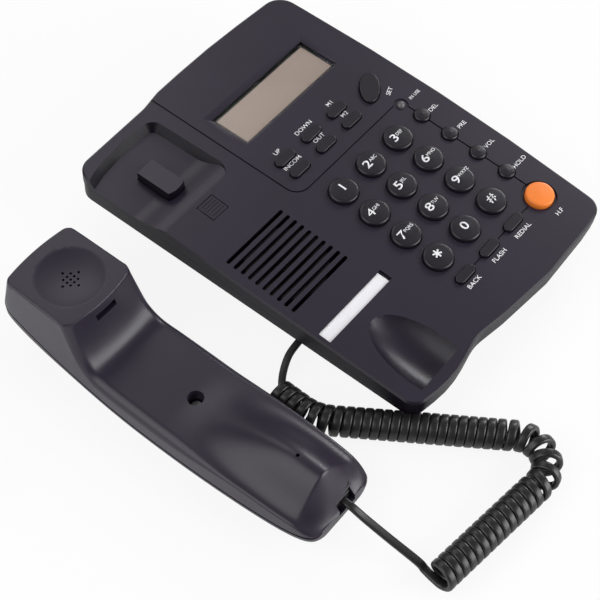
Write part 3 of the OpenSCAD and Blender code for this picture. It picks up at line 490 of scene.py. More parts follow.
def soften(mesh, angle):
    """Shades a mesh smooth but for edges sharper than an angle."""
    mesh.polygons.foreach_set("use_smooth", [True] * len(mesh.polygons))
    mesh.set_sharp_from_angle(angle=math.radians(angle))


def finish_node(name, material, rounding=0.0, angle=35.0, segments=2, clearance=0.0):
    """Gives a CAD node its finish. Edges sharper than the angle are rounded or left sharp, and
    the whole is drawn in by the clearance."""
    piece = NODES[name]
    piece.data.materials.clear()
    piece.data.materials.append(material)
    piece.data.polygons.foreach_set("use_smooth", [angle > 0] * len(piece.data.polygons))
    weld = piece.modifiers.new("Weld", "WELD")
    weld.merge_threshold = WELD_GAP
    if clearance:
        apart = piece.modifiers.new("Apart", "DISPLACE")
        apart.mid_level = 0.0
        apart.strength = -clearance
    if rounding:
        flats = piece.modifiers.new("Flats", "DECIMATE")
        flats.decimate_type = "DISSOLVE"
        flats.angle_limit = math.radians(FLAT_ANGLE)
        edges = piece.modifiers.new("Edges", "BEVEL")
        edges.width = rounding
        edges.segments = segments
        edges.limit_method = "ANGLE"
        edges.angle_limit = math.radians(angle)
        edges.miter_outer = "MITER_ARC"
        edges.use_clamp_overlap = True
        even = piece.modifiers.new("Even", "WEIGHTED_NORMAL")
        even.mode = "FACE_AREA_WITH_ANGLE"
        even.weight = FACE_WEIGHT
    else:
        split = piece.modifiers.new("Split", "EDGE_SPLIT")
        split.split_angle = math.radians(angle)


def deck_point(x, along, height):
    """Point of the frame from millimetres on the sloping deck, and above it."""
    s = sizes()
    tilt = Matrix.Rotation(s.deck_slope, 4, "X")
    flat = Vector((x * MM, along * MM, height * MM))
    return Matrix.Translation((0, 0, s.deck_height)) @ tilt @ flat


def share(a, b, u):
    return a + (b - a) * u


def smooth_step(u):
    t = min(max(u, 0.0), 1.0)
    return t * t * (3 - 2 * t)


# The cord's route in millimetres; the curls' route gives a corner radius in the place of a height

CORD_EXIT = (-65.714, -31.0, 9.0)
BASE_LEAD = (
    (-66.914, -31, 9), (-70.714, -31, 8.7), (-78.5, -31.4, 6.6), (-86, -34.2, 4), (-91.5, -38, 2.6))
CURL_ROUTE = ((-97.4, -40.5, 0), (-97.5, -62.5, 25), (-29.6, -162.8, 14), (-127.5, -150.9, 0))
HAND_LEAD = ((-121.9, -139, 3.6), (-123.2, -125, 8.6), (-124.6, -113, 14))
HAND_LEAD_END = (-125.5, -100.65, 18.5)
LEAD_STUB = 1.2
TAIL_RUN, TAIL_RISE = 5, 0.4
PLUG_RUN, PLUG_DROP = 5, 0.3
PLUG_GAP = 0.35
DESK_GAP = 0.05
AXIS_REACH = 3
BEND_REACH = 4
BEND_LIMIT = 0.5

# Its fineness, and the places in metres between which the handset's lift takes hold of it

ARC_STEP = 9
LEAD_STEPS = 5
PITCH_STEPS = 8
TURN_STEPS = 24
SECTION_CORNER = 0.26
LIFT_FROM = (-0.0752, -0.0564, 0)
LIFT_TO = (-0.1264, -0.0948, 0)


def signed_turn(u, v):
    """Angle from one flat direction to another."""
    return math.atan2(u.x * v.y - u.y * v.x, u.dot(v))


def rounded_corner(before, at, after):
    """Points of the arc that rounds one corner of a flat route."""
    u = (Vector(at[:2]) - Vector(before[:2])).normalized()
    v = (Vector(after[:2]) - Vector(at[:2])).normalized()
    turn = signed_turn(u, v)
    side = 1 if turn > 0 else -1
    radius = max(at[2], 1)
    left = Vector((-u.y, u.x))
    centre = Vector(at[:2]) - u * radius * math.tan(abs(turn) / 2) + left * side * radius
    steps = max(2, math.ceil(math.degrees(abs(turn)) / ARC_STEP))
    return [centre + Matrix.Rotation(turn * i / steps, 2) @ (left * -side * radius)
            for i in range(steps + 1)]


class CurlAxis:
    """The line that the curls run round: straight runs joined by arcs."""

    def __init__(self, route):
        self.points = [Vector(route[0][:2])]
        for before, at, after in zip(route, route[1:], route[2:]):
            self.points += rounded_corner(before, at, after)
        self.points.append(Vector(route[-1][:2]))
        self.runs = [0.0]
        for a, b in zip(self.points, self.points[1:]):
            self.runs.append(self.runs[-1] + (b - a).length)
        self.length = self.runs[-1]

    def at(self, run):
        run = min(max(run, 0.0), self.length)
        for i in range(len(self.runs) - 1):
            if run <= self.runs[i + 1]:
                step = self.runs[i + 1] - self.runs[i]
                return self.points[i].lerp(self.points[i + 1], (run - self.runs[i]) / step)
        return self.points[-1]

    def direction(self, run):
        ahead = self.at(min(run + AXIS_REACH, self.length))
        return (ahead - self.at(max(run - AXIS_REACH, 0))).normalized()

    def bend(self, run):
        a = self.direction(max(run - BEND_REACH, AXIS_REACH))
        b = self.direction(min(run + BEND_REACH, self.length - AXIS_REACH))
        return abs(signed_turn(a, b)) / (2 * BEND_REACH)


def spline(points, steps):
    """Smooth curve through route points."""
    p = [Vector(q) for q in points]
    made = []
    for i in range(len(p) - 1):
        a, b, c, d = p[max(i - 1, 0)], p[i], p[i + 1], p[min(i + 2, len(p) - 1)]
        for k in range(steps):
            u = k / steps
            bend = 2 * a - 5 * b + 4 * c - d + u * (3 * b - a - 3 * c + d)
            made.append(b + 0.5 * u * (c - a + u * bend))
    return made + [p[-1]]


def curl_points(axis):
    """Points of the curls, the axis beside each, and the cord's directions in and out."""
    s = sizes()
    pitch = s.curl_pitch / MM
    spacing = (s.curl_diameter - s.cord_diameter) / 2 / MM
    radius = (s.curl_diameter - s.curl_width * s.cord_flatness) / 2 / MM
    middle = s.curl_diameter / 2 / MM + DESK_GAP
    runs = [0.0]
    while runs[-1] < axis.length - pitch:
        bend = max(axis.bend(runs[-1] + e) for e in (-BEND_REACH, 0, BEND_REACH))
        runs.append(runs[-1] + pitch / (1 - min(spacing * bend, BEND_LIMIT)) / PITCH_STEPS)
    runs.pop()
    count = len(runs) - len(runs) % PITCH_STEPS
    made, beside = [], []
    for k in range(count * TURN_STEPS // PITCH_STEPS + 1):
        i = min(k * PITCH_STEPS / TURN_STEPS, len(runs) - 1)
        low = int(i)
        high = min(low + 1, len(runs) - 1)
        run = share(runs[low], runs[high], i - low)
        d = axis.direction(run)
        turn = math.pi + (i - count) * 2 * math.pi / PITCH_STEPS
        flat = axis.at(run) + Vector((-d.y, d.x)) * radius * math.sin(turn)
        made.append(Vector((flat.x, flat.y, middle + radius * math.cos(turn))))
        beside.append(Vector((d.x, d.y, 0)))
    ends = [axis.direction(0), axis.direction(runs[min(count, len(runs) - 1)])]
    return made, beside, [Vector((d.y, -d.x, 0)) for d in ends]


def cord_path():
    """The cord in metres from the base's plug to the handset's: points, widths and flat sides."""
    s = sizes()
    wire = s.cord_diameter / MM
    curls, beside, (first, tail) = curl_points(CurlAxis(CURL_ROUTE))
    start = curls[0] - first * wire
    end = curls[-1] + tail * wire
    lead = spline(BASE_LEAD + (start - first * LEAD_STUB,), LEAD_STEPS)
    lead = [Vector(CORD_EXIT)] + lead + [start]
    plug = Vector(HAND_LEAD_END)
    route = [end + tail * LEAD_STUB, end + tail * TAIL_RUN + Vector((0, 0, TAIL_RISE))]
    route += HAND_LEAD
    route += [plug - Vector((0, PLUG_RUN, PLUG_DROP)), plug - Vector((0, LEAD_STUB, 0))]
    follow = [end] + spline(route, LEAD_STEPS) + [plug + Vector((0, PLUG_GAP, 0))]
    widths = [s.cord_diameter] * len(lead) + [s.curl_width] * len(curls)
    widths += [share(s.curl_width, s.cord_diameter, i / len(follow)) for i in range(len(follow))]
    path = lead + curls + follow
    sides = [Vector((0, -1, 0))] * len(lead) + beside + [Vector((-1, 0, 0))] * len(follow)
    across = []
    for i, side in enumerate(sides):
        ahead = (path[min(i + 1, len(path) - 1)] - path[max(i - 1, 0)]).normalized()
        across.append((side - ahead * side.dot(ahead)).normalized())
    return [p * MM for p in path], widths, across


def named_attribute(tree, name, kind):
    made = tree.nodes.new("GeometryNodeInputNamedAttribute")
    made.data_type = kind
    made.inputs["Name"].default_value = name
    return made.outputs["Attribute"]


def cord_tree(material):
    """Geometry Nodes tree that sweeps a flat, rounded section along a line of edges, with the
    width and the flat side that the line's points give."""
    tree = bpy.data.node_groups.new("cord_sheath", "GeometryNodeTree")
    for name, kind in (("Geometry", "Geometry"), ("Flatness", "Float"), ("Corner", "Int")):
        tree.interface.new_socket(name=name, in_out="INPUT", socket_type="NodeSocket" + kind)
    tree.interface.new_socket(
        name="Geometry", in_out="OUTPUT", socket_type="NodeSocketGeometry")
    entry = tree.nodes.new("NodeGroupInput")
    line = tree.nodes.new("GeometryNodeMeshToCurve")
    lie = tree.nodes.new("GeometryNodeSetCurveNormal")
    lie.mode = "FREE"
    strip = tree.nodes.new("GeometryNodeCurvePrimitiveQuadrilateral")
    strip.inputs["Width"].default_value = 1.0
    ring = tree.nodes.new("GeometryNodeFilletCurve")
    ring.mode = "POLY"
    ring.inputs["Radius"].default_value = SECTION_CORNER
    sweep = tree.nodes.new("GeometryNodeCurveToMesh")
    sweep.inputs["Fill Caps"].default_value = True
    soft = tree.nodes.new("GeometryNodeSetShadeSmooth")
    real = tree.nodes.new("GeometryNodeRealizeInstances")
    dress = tree.nodes.new("GeometryNodeSetMaterial")
    dress.inputs["Material"].default_value = material
    leave = tree.nodes.new("NodeGroupOutput")
    link = tree.links.new
    link(entry.outputs["Geometry"], line.inputs[0])
    link(line.outputs[0], lie.inputs["Curve"])
    link(named_attribute(tree, "across", "FLOAT_VECTOR"), lie.inputs["Normal"])
    link(lie.outputs["Curve"], sweep.inputs["Curve"])
    link(entry.outputs["Flatness"], strip.inputs["Height"])
    link(strip.outputs["Curve"], ring.inputs["Curve"])
    link(entry.outputs["Corner"], ring.inputs["Count"])
    link(ring.outputs["Curve"], sweep.inputs["Profile Curve"])
    link(named_attribute(tree, "width", "FLOAT"), sweep.inputs["Scale"])
    for before, after in ((sweep, soft), (soft, real), (real, dress), (dress, leave)):
        link(before.outputs[0], after.inputs["Geometry"])
    return tree


def run_tree(tree, mesh, values):
    """Plain mesh that a tree makes from a mesh, with its named inputs set."""
    piece = put("seed", mesh)
    nodes = piece.modifiers.new("Nodes", "NODES")
    nodes.node_group = tree
    for item in tree.interface.items_tree:
        if item.in_out == "INPUT" and item.name in values:
            nodes[item.identifier] = values[item.name]
    return plain_mesh(piece)


class TELEPHONE_OT_cord(bpy.types.Operator):
    """Lay the curly cord from the base to the handset"""

    bl_idname = "telephone.cord"
    bl_label = "Curly Cord"

    def execute(self, context):
        s = sizes()
        path, widths, across = cord_path()
        line = bpy.data.meshes.new("cord_line")
        line.from_pydata(path, [(i, i + 1) for i in range(len(path) - 1)], [])
        line.attributes.new("width", "FLOAT", "POINT").data.foreach_set("value", widths)
        sides = line.attributes.new("across", "FLOAT_VECTOR", "POINT").data
        sides.foreach_set("vector", [c for side in across for c in side])
        sheath = plastic("cord_sheath")
        section = {"Flatness": s.cord_flatness, "Corner": s.cord_corner}
        mesh = run_tree(cord_tree(sheath), line, section)
        cord = add_piece("cord", mesh, sheath, None, "cord")
        length = sum((b - a).length for a, b in zip(path, path[1:]))
        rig.replaces(cord, "base_lead", "curly_cord", "handset_lead")
        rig.cord(cord, exit=path[0], length=length, diameter=s.cord_diameter, far_end="object",
                stiffness="medium", lay="loose", path=path,
                with_pieces=[NODES["base_plug"], NODES["handset_plug"]])
        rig.blend(cord, "base", "handset", start=LIFT_FROM, end=LIFT_TO)
        return {"FINISHED"}


# The base

SPRING_ANGLE = 60
SHEET_GAP = 0.00005


class TELEPHONE_OT_housings(bpy.types.Operator):
    """Finish the base's housings, feet, screws, ballast and spring"""

    bl_idname = "telephone.housings"
    bl_label = "Housings"

    def spring(self):
        """The hook switch's spring, which is squeezed as the switch goes down."""
        wound = NODES["hook_spring"]
        mesh = wound.data.copy()
        mesh.transform(wound.matrix_world)
        soften(mesh, SPRING_ANGLE)
        piece = add_piece("hook_spring_wound", mesh, plated_steel(), None)
        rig.replaces(piece, "hook_spring")
        low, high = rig.box("hook_spring")
        x, y = (low[0] + high[0]) / 2, (low[1] + high[1]) / 2
        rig.blend(piece, "base", "hook_switch", start=(x, y, low[2]), end=(x, y, high[2]))

    def execute(self, context):
        for name in ("upper_housing", "lower_housing"):
            finish_node(name, plastic("housing_plastic"), sizes().edge_rounding)
        finish_node("rubber_feet", plastic("rubber_foot"), rounding=0.0006)
        for name in ("housing_screws", "handset_screw"):
            finish_node(name, plated_steel(), rounding=0.0003)
        self.spring()
        finish_node("ballast_plate", ballast_steel(), rounding=0.0004)
        return {"FINISHED"}


class TELEPHONE_OT_fittings(bpy.types.Operator):
    """Finish the cradle's switch and tab, the jacks, the card and what is inside"""

    bl_idname = "telephone.fittings"
    bl_label = "Fittings"

    def execute(self, context):
        body = plastic("housing_plastic")
        finish_node("hook_switch", body, rounding=0.0004, angle=50, segments=3)
        finish_node("hanger_tab", body, rounding=0.00012)
        for name in ("line_jack", "cord_jack", "handset_socket"):
            finish_node(name, plastic("jack_plastic"), rounding=0.0002)
        for name in ("base_plug", "handset_plug"):
            finish_node(name, plastic("plug_plastic"), rounding=0.0003)
        finish_node("index_card", plastic("card_paper"), angle=0)
        finish_node("index_cover", cover_sheet(), angle=0, clearance=SHEET_GAP)
        for name in ("room_microphone", "receiver_capsule", "handset_microphone"):
            finish_node(name, plastic("capsule_black"), sizes().edge_rounding)
        finish_node("in_use_lamp", plastic("lamp_lens"))
        finish_node("loudspeaker", plastic("speaker_cone"))
        finish_node("main_board", plastic("board_dark"))
        finish_node("key_sheet", plastic("key_rubber"))
        return {"FINISHED"}


class TELEPHONE_OT_display(bpy.types.Operator):
    """Finish the display's panel and its clear window"""

    bl_idname = "telephone.display"
    bl_label = "Display"

    def execute(self, context):
        finish_node("display_panel", plastic("display_ground"), angle=0)
        finish_node("display_window", display_glass(), angle=0, clearance=SHEET_GAP)
        return {"FINISHED"}


# The keys

NUMBER_KEYS = (
    ("key_1", "", ""), ("key_2", "2", "ABC"), ("key_3", "3", "DEF"),
    ("key_4", "4", "GHI"), ("key_5", "5", "JKL"), ("key_6", "6", "MNO"),
    ("key_7", "7", "PQRS"), ("key_8", "8", "TUV"), ("key_9", "9", "WXYZ"),
    ("key_star", "*", ""), ("key_0", "0", ""), ("key_hash", "#", ""))
SMALL_KEYS = ("key_delete", "key_preset", "key_volume", "key_hold")
OBLONG_KEYS = (
    "key_back", "key_flash", "key_redial", "key_up", "key_down", "key_memory_1",
    "key_incoming", "key_outgoing", "key_memory_2")
ROUND_CAP = dict(angle=30)
OBLONG_CAP = dict(angle=45, segments=3)


class TELEPHONE_OT_keys(bpy.types.Operator):
    """Finish the keys' caps"""

    bl_idname = "telephone.keys"
    bl_label = "Keys"

    def execute(self, context):
        for name in [k[0] for k in NUMBER_KEYS] + list(SMALL_KEYS):
            finish_node(name, plastic("key_plastic"), **ROUND_CAP)
        finish_node("key_hands_free", plastic("hands_free_plastic"), **ROUND_CAP)
        for name in OBLONG_KEYS:
            finish_node(name, plastic("key_plastic"), rounding=0.0006, **OBLONG_CAP)
        finish_node("key_set", plastic("key_plastic"), rounding=0.0008, **OBLONG_CAP)
        return {"FINISHED"}


# The printing: places in millimetres from a key's middle, and the shapes of the letters

KEY_PROUD = 2.2
KEY_CROWN = 0.3
KEY_RADIUS = 6.5
ONE_AT, ONE_WIDTH = (0.6, 1.3), 0.0009
STAR_AT, STAR_WIDTH = (0.3, 1.0), 0.00085
DIGIT_AT = (-2.2, 0.9)
LETTERS_AT = (0.0, 1.2)
LONE_AT = (0.2, 1.0)
IN_USE_AT = (9.8, -1.0)
CAPITAL = 0.729
CURVE_STEPS = 4
BAR_STEPS = 8
DIGIT_WEIGHT = 0.012
DIGIT_STRETCH = 1.3
LONE_STRETCH = 1.25
WORD_WEIGHT = 0.004
WORD_STRETCH = 1.08
WORDS = (
    ("UP", "key_up", 0.6, 5.6, 0), ("DOWN", "key_down", 0.6, 5.6, 0),
    ("M1", "key_memory_1", 0.9, 5.6, 0), ("INCOM", "key_incoming", 0.6, 5.3, 0),
    ("OUT", "key_outgoing", 0.9, 5.4, 0), ("M2", "key_memory_2", 0.8, 5.3, 0),
    ("BACK", "key_back", -0.3, -5.6, 0), ("FLASH", "key_flash", 0, -5.9, 0),
    ("REDIAL", "key_redial", -0.2, -6.1, 0), ("DEL", "key_delete", 8.0, -1.1, 0),
    ("PRE", "key_preset", 8.9, -0.9, 0), ("VOL", "key_volume", 8.4, -0.7, 0),
    ("HOLD", "key_hold", 9.3, -1.1, 0), ("SET", "key_set", 5.5, -8.4, 20),
    ("H.F", "key_hands_free", -1.1, -12.6, 0))


def lettering(text, height, weight=0.0, stretch=1.0, from_left=False):
    """Flat mesh of a word with capitals of a height in metres, centred or begun at the origin."""
    curve = bpy.data.curves.new("lettering", "FONT")
    curve.body = text
    curve.offset = weight
    curve.resolution_u = CURVE_STEPS
    mesh = plain_mesh(put("lettering", curve))
    bpy.data.curves.remove(curve)
    low = min(v.co.x for v in mesh.vertices)
    middle = (low + max(v.co.x for v in mesh.vertices)) / 2
    mesh.transform(Matrix.Translation((-low if from_left else -middle, -CAPITAL / 2, 0)))
    mesh.transform(Matrix.Diagonal((stretch * height / CAPITAL, height / CAPITAL, 1, 1)))
    return mesh


def bar(width, length, turn=0.0):
    """Flat upright bar of several short lengths, so that it follows a crowned key."""
    mesh = bpy.data.meshes.new("bar")
    rows = [(x, length * (k / BAR_STEPS - 0.5), 0)
            for k in range(BAR_STEPS + 1) for x in (-width / 2, width / 2)]
    faces = [(2 * k, 2 * k + 1, 2 * k + 3, 2 * k + 2) for k in range(BAR_STEPS)]
    mesh.from_pydata(rows, [], faces)
    mesh.transform(Matrix.Rotation(turn, 4, "Z"))
    return mesh


def add_print(sheet, mesh, place):
    """Adds a flat print to a sheet, after setting its points with a place function."""
    for v in mesh.vertices:
        v.co = place(v.co)
    sheet.from_mesh(mesh)
    bpy.data.meshes.remove(mesh)


def thicken(sheet, name):
    """Mesh of a print sheet, raised by the print's thickness along the deck's normal."""
    made = bmesh.ops.extrude_face_region(sheet, geom=sheet.faces[:])["geom"]
    rise = deck_point(0, 0, sizes().print_thickness / MM) - deck_point(0, 0, 0)
    raised = [g for g in made if isinstance(g, bmesh.types.BMVert)]
    bmesh.ops.translate(sheet, vec=rise, verts=raised)
    return settle(sheet, name)


def key_centre(name):
    """Place of a key on the deck, in millimetres along its slope."""
    s = sizes()
    low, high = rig.box(name)
    middle = (Vector(low) + Vector(high)) / 2
    flat = Matrix.Rotation(-s.deck_slope, 3, "X") @ (middle - Vector((0, 0, s.deck_height)))
    return flat.x / MM, flat.y / MM


def on_crown(name, at):
    """Place function for a print on a key's crowned top."""
    x, along = key_centre(name)

    def place(co):
        px, py = co.x / MM + at[0], co.y / MM + at[1]
        crown = KEY_CROWN * max(0.0, 1 - math.hypot(px, py) / KEY_RADIUS)
        return deck_point(x + px, along + py, KEY_PROUD + crown)

    return place


def on_deck(name, dx, dy):
    """Place function for a print on the deck, beside a key or the lamp."""
    x, along = key_centre(name)
    return lambda co: deck_point(x + dx + co.x / MM, along + dy + co.y / MM, 0)


class TELEPHONE_OT_printing(bpy.types.Operator):
    """Print the digits on the keys and the words on the deck"""

    bl_idname = "telephone.printing"
    bl_label = "Printing"

    def key_print(self, name, digit, letters):
        s = sizes()
        sheet = bmesh.new()
        if name == "key_1":
            add_print(sheet, bar(ONE_WIDTH, s.digit_height), on_crown(name, ONE_AT))
        elif name == "key_star":
            for turn in (0, 60, 120):
                arm = bar(STAR_WIDTH, s.digit_height, math.radians(turn))
                add_print(sheet, arm, on_crown(name, STAR_AT))
        elif letters:
            # A heavier 4 would close its own opening
            weight = 0.0 if digit == "4" else DIGIT_WEIGHT
            figure = lettering(digit, s.digit_height, weight, DIGIT_STRETCH)
            add_print(sheet, figure, on_crown(name, DIGIT_AT))
            word = lettering(letters, s.letter_height, from_left=True)
            add_print(sheet, word, on_crown(name, LETTERS_AT))
        else:
            figure = lettering(digit, s.digit_height, DIGIT_WEIGHT, LONE_STRETCH)
            add_print(sheet, figure, on_crown(name, LONE_AT))
        mesh = thicken(sheet, name + "_print")
        add_piece(name + "_print", mesh, plastic("print_ink"), name, "card")

    def deck_print(self):
        s = sizes()
        sheet = bmesh.new()
        for text, name, dx, dy, turn in WORDS:
            mesh = lettering(text, s.word_height, WORD_WEIGHT, WORD_STRETCH)
            mesh.transform(Matrix.Rotation(math.radians(turn), 4, "Z"))
            add_print(sheet, mesh, on_deck(name, dx, dy))
        in_use = lettering("IN USE", s.letter_height)
        add_print(sheet, in_use, on_deck("in_use_lamp", *IN_USE_AT))
        mesh = thicken(sheet, "deck_print")
        add_piece("deck_print", mesh, plastic("print_ink"), "base", "card")

    def execute(self, context):
        for name, digit, letters in NUMBER_KEYS:
            self.key_print(name, digit, letters)
        self.deck_print()
        return {"FINISHED"}


# The handset in millimetres: x across it, y along it towards the earpiece, z up from the desk

HAND_AT = (-128.5, -10.0)
EAR_END = 90.0
MOUTH_END = -93.0
END_MARGIN = 0.3
END_LIP = 1.5
END_BOW = 3.0
BOW_RUN = 24.0
EAR_SQUARENESS = 22
MOUTH_SQUARENESS = 10
GRIP_W = 47.4
WAIST_Y = -5.0
WAIST_TAPER = 0.0002
GRIP_H = 20.0

EAR_H = 48.0
FACE_FRONT = 43.5
FACE_BACK = 84.5
FACE_BULGE = 3.5
FACE_CORNER = 4.5
FACE_EDGE = 2.3
RAMP_RUN = 19.0
RAMP_POWERS = (4.0, 3.0)
RAMP_EDGE_FROM = 0.8
RAMP_PAST = 1.5

MOUTH_H = 37.0
CREST_Y = -82.0
CREST_EDGE = 0.9
CREST_EDGE_H = 22.0
CREST_REACH = 8
RIDGE_Y = -6.0
RIDGE_RUN = 66.0
RIDGE_SHARE = 0.96

GRIP_EDGE_R = 5.0
EAR_EDGE_R, EAR_EDGE_Y, EAR_EDGE_RUN = 1.2, 40, 6
MOUTH_EDGE_R, MOUTH_EDGE_Y, MOUTH_EDGE_RUN = 1.6, -8, 44
EDGE_SHARE = 0.8
DRAFT = 0.05
DRAFT_Y = 20
EAR_DRAFT_RUN = 30
MOUTH_DRAFT_RUN = 40
LEAST_WALL = 0.4

SEAM_H = 6.0
GROOVE_DEPTH = 2.2
REST_Y = 5.0
EAR_BACK_R = 200.0
MOUTH_BACK_R = 445.0
BACK_GRIP_R = SEAM_H * 0.85
BACK_EAR_R = 2.6
BACK_EDGE_Y, BACK_EDGE_RUN = 40, 40

# Fineness: steps round a half section, and runs of sections as start, step and count

WALL_STEPS = 8
CORNER_STEPS = 12
TOP_STEPS = 32
BACK_CORNER_STEPS = 10
BACK_STEPS = 8
STATION_RUNS = (
    (MOUTH_END, 0.35, 16), (-87, 0.5, 20), (-77, 2.0, 38), (0.5, 2.0, 12),
    (24.5, 0.75, 18), (38, 0.12, 111), (51.5, 2.0, 16), (82.5, 0.25, 30))
LAST_GAP = 0.1
SHELL_WELD = 1e-7
SHELL_ANGLE = 32


def soft_min(a, b, k):
    """The lower of two heights, rounded where they meet."""
    h = min(max(0.5 + 0.5 * (b - a) / k, 0.0), 1.0)
    return share(b, a, h) - k * h * (1 - h)


def back_h(y):
    return (y - REST_Y) ** 2 / (2 * (EAR_BACK_R if y > REST_Y else MOUTH_BACK_R))


def seam_z(y):
    return back_h(y) + SEAM_H


def half_w(y):
    """Half the width: a waisted grip that is rounded off at both ends."""
    power, end = MOUTH_SQUARENESS, MOUTH_END - END_MARGIN
    if y > 0:
        power, end = EAR_SQUARENESS, EAR_END + END_MARGIN
    waist = GRIP_W / 2 - WAIST_TAPER * (y - WAIST_Y) ** 2
    return waist * (1 - (y / end) ** power) ** (1 / power)


def ear_ramp(y, late, power):
    """Height of the ramp up to the earpiece's face, which it reaches later by so much."""
    u = (y - FACE_FRONT + RAMP_RUN) / (RAMP_RUN + late)
    if u <= 0:
        return GRIP_H
    rise = GRIP_H + (EAR_H - GRIP_H) * min(u, RAMP_PAST) ** power
    return soft_min(rise, EAR_H, FACE_EDGE) if u > RAMP_EDGE_FROM else rise


def ear_top(y, u):
    """Height of the earpiece: its ramp, its flat face and its end, all drawn in at the corners."""
    into = max(0.0, 1 - (1 - abs(u)) * GRIP_W / 2 / FACE_CORNER)
    corner = FACE_CORNER * (1 - math.sqrt(1 - into * into))
    ramp = ear_ramp(y, FACE_BULGE * u * u + corner, share(*RAMP_POWERS, u * u))
    back = FACE_BACK - corner
    end = share(EAR_H, seam_z(EAR_END) + END_LIP, (y - back) / (EAR_END - back))
    return soft_min(ramp, end, FACE_EDGE)


def mouth_top(y, high):
    """Height of the mouthpiece along a line that rises to a height at the crest."""
    rise = share(GRIP_H, high, smooth_step((RIDGE_Y - y) / RIDGE_RUN))
    end = share(high, seam_z(MOUTH_END) + END_LIP, (CREST_Y - y) / (CREST_Y - MOUTH_END))
    return soft_min(rise, end, CREST_EDGE) if y < CREST_Y + CREST_REACH else rise


def ridge(u):
    return (1 + math.cos(math.pi * u / RIDGE_SHARE)) / 2 if abs(u) < RIDGE_SHARE else 0.0


def top_h(y, u):
    """Height of the front at a share of the half width."""
    if y > 0:
        return ear_top(y, u)
    return share(mouth_top(y, CREST_EDGE_H), mouth_top(y, MOUTH_H), ridge(u))


def edge_r(y):
    if y > 0:
        return share(GRIP_EDGE_R, EAR_EDGE_R, smooth_step((y - EAR_EDGE_Y) / EAR_EDGE_RUN))
    return share(GRIP_EDGE_R, MOUTH_EDGE_R, smooth_step((MOUTH_EDGE_Y - y) / MOUTH_EDGE_RUN))


def draft(y):
    """How much the side walls lean in for each millimetre of height."""
    return DRAFT * smooth_step((abs(y) - DRAFT_Y) / (EAR_DRAFT_RUN if y > 0 else MOUTH_DRAFT_RUN))


def bow(y, x):
    """How far the earpiece end stands out beside its corners."""
    return END_BOW * (1 - (2 * x / GRIP_W) ** 2) * smooth_step((y - EAR_END + BOW_RUN) / BOW_RUN)


def front_half(y, groove):
    """Half of the front shell's section, from its seam up and over to the middle."""
    w, z0 = half_w(y), seam_z(y)
    low = z0 + groove

    def top(u):
        return max(top_h(y, u), low + LEAST_WALL)

    z1 = top(1)
    r = min(edge_r(y), (z1 - low) * EDGE_SHARE)
    x1 = w - draft(y) * (z1 - z0)
    inner = x1 - r
    half = [(w - GROOVE_DEPTH, z0), (w - GROOVE_DEPTH, low)]
    for k in range(WALL_STEPS):
        half.append((share(w, x1, k / WALL_STEPS), share(low, z1 - r, k / WALL_STEPS)))
    for k in range(CORNER_STEPS + 1):
        a = math.radians(90 * k / CORNER_STEPS)
        x = inner + r * math.cos(a)
        half.append((x, top(min(x / x1, 1.0)) - r + r * math.sin(a)))
    for k in range(1, TOP_STEPS + 1):
        x = inner * (1 - k / TOP_STEPS)
        half.append((x, top(x / x1)))
    return half


def back_half(y):
    """Half of the back shell's section, from its seam down and under to the middle."""
    w, z0, z1 = half_w(y), back_h(y), seam_z(y)
    r = share(BACK_GRIP_R, BACK_EAR_R, smooth_step((y - BACK_EDGE_Y) / BACK_EDGE_RUN))
    half = [(w - GROOVE_DEPTH, z1), (w, z1)]
    for k in range(BACK_CORNER_STEPS + 1):
        a = math.radians(90 * k / BACK_CORNER_STEPS)
        half.append((w - r + r * math.cos(a), z0 + r - r * math.sin(a)))
    return half + [((w - r) * (1 - k / BACK_STEPS), z0) for k in range(1, BACK_STEPS + 1)]


def hand_stations():
    """Places of the sections along the handset, closest where its form turns."""
    made = [start + step * k for start, step, count in STATION_RUNS for k in range(count)]
    return [y for y in made if y < EAR_END - LAST_GAP] + [EAR_END]


def bridge(form, rings):
    """Adds the faces between each ring of points and the next."""
    count = len(rings[0])
    for a, b in zip(rings, rings[1:]):
        for j in range(count):
            k = (j + 1) % count
            form.faces.new((a[j], a[k], b[k], b[j]))


def loft(name, stations, half):
    """Closed mesh through mirrored half sections."""
    shell = bmesh.new()
    rings = []
    for y in stations:
        right = half(y)
        ring = right + [(-x, z) for x, z in reversed(right[:-1])]
        rings.append([
            shell.verts.new(((HAND_AT[0] + x) * MM, (HAND_AT[1] + y + bow(y, x)) * MM, z * MM))
            for x, z in ring])
    bridge(shell, rings)
    shell.faces.new(rings[0])
    shell.faces.new(rings[-1][::-1])
    bmesh.ops.remove_doubles(shell, verts=shell.verts[:], dist=SHELL_WELD)
    return settle(shell, name)


def lathe(cutter, x, y, profile, sides):
    """Adds a closed turned form to a cutter: profile of radius and height, from foot to top."""
    angles = [2 * math.pi * i / sides for i in range(sides)]
    rings = []
    for r, z in profile:
        rings.append([
            cutter.verts.new(((HAND_AT[0] + x + r * math.cos(a)) * MM,
                              (HAND_AT[1] + y + r * math.sin(a)) * MM, z * MM))
            for a in angles])
    bridge(cutter, rings)
    cutter.faces.new(rings[0][::-1])
    cutter.faces.new(rings[-1])


def block(cutter, low, high):
    """Adds a box to a cutter, its corners in the handset's millimetres."""
    for v in bmesh.ops.create_cube(cutter, size=1)["verts"]:
        v.co = [at * MM + (high[i] if v.co[i] > 0 else low[i]) * MM
                for i, at in enumerate((*HAND_AT, 0))]


def carve(mesh, cutters):
    """The mesh with the cutters taken out of it, one after another."""
    piece = put("carved", mesh)
    tools = []
    for number, cutter in enumerate(cutters):
        tool = put(f"cutter_{number}", settle(cutter, f"cutter_{number}"))
        tools.append(tool)
        cut = piece.modifiers.new(f"Cut {number}", "BOOLEAN")
        cut.operation = "DIFFERENCE"
        cut.solver = "EXACT"
        cut.object = tool
    made = plain_mesh(piece)
    for tool in tools:
        bpy.data.objects.remove(tool)
    return made


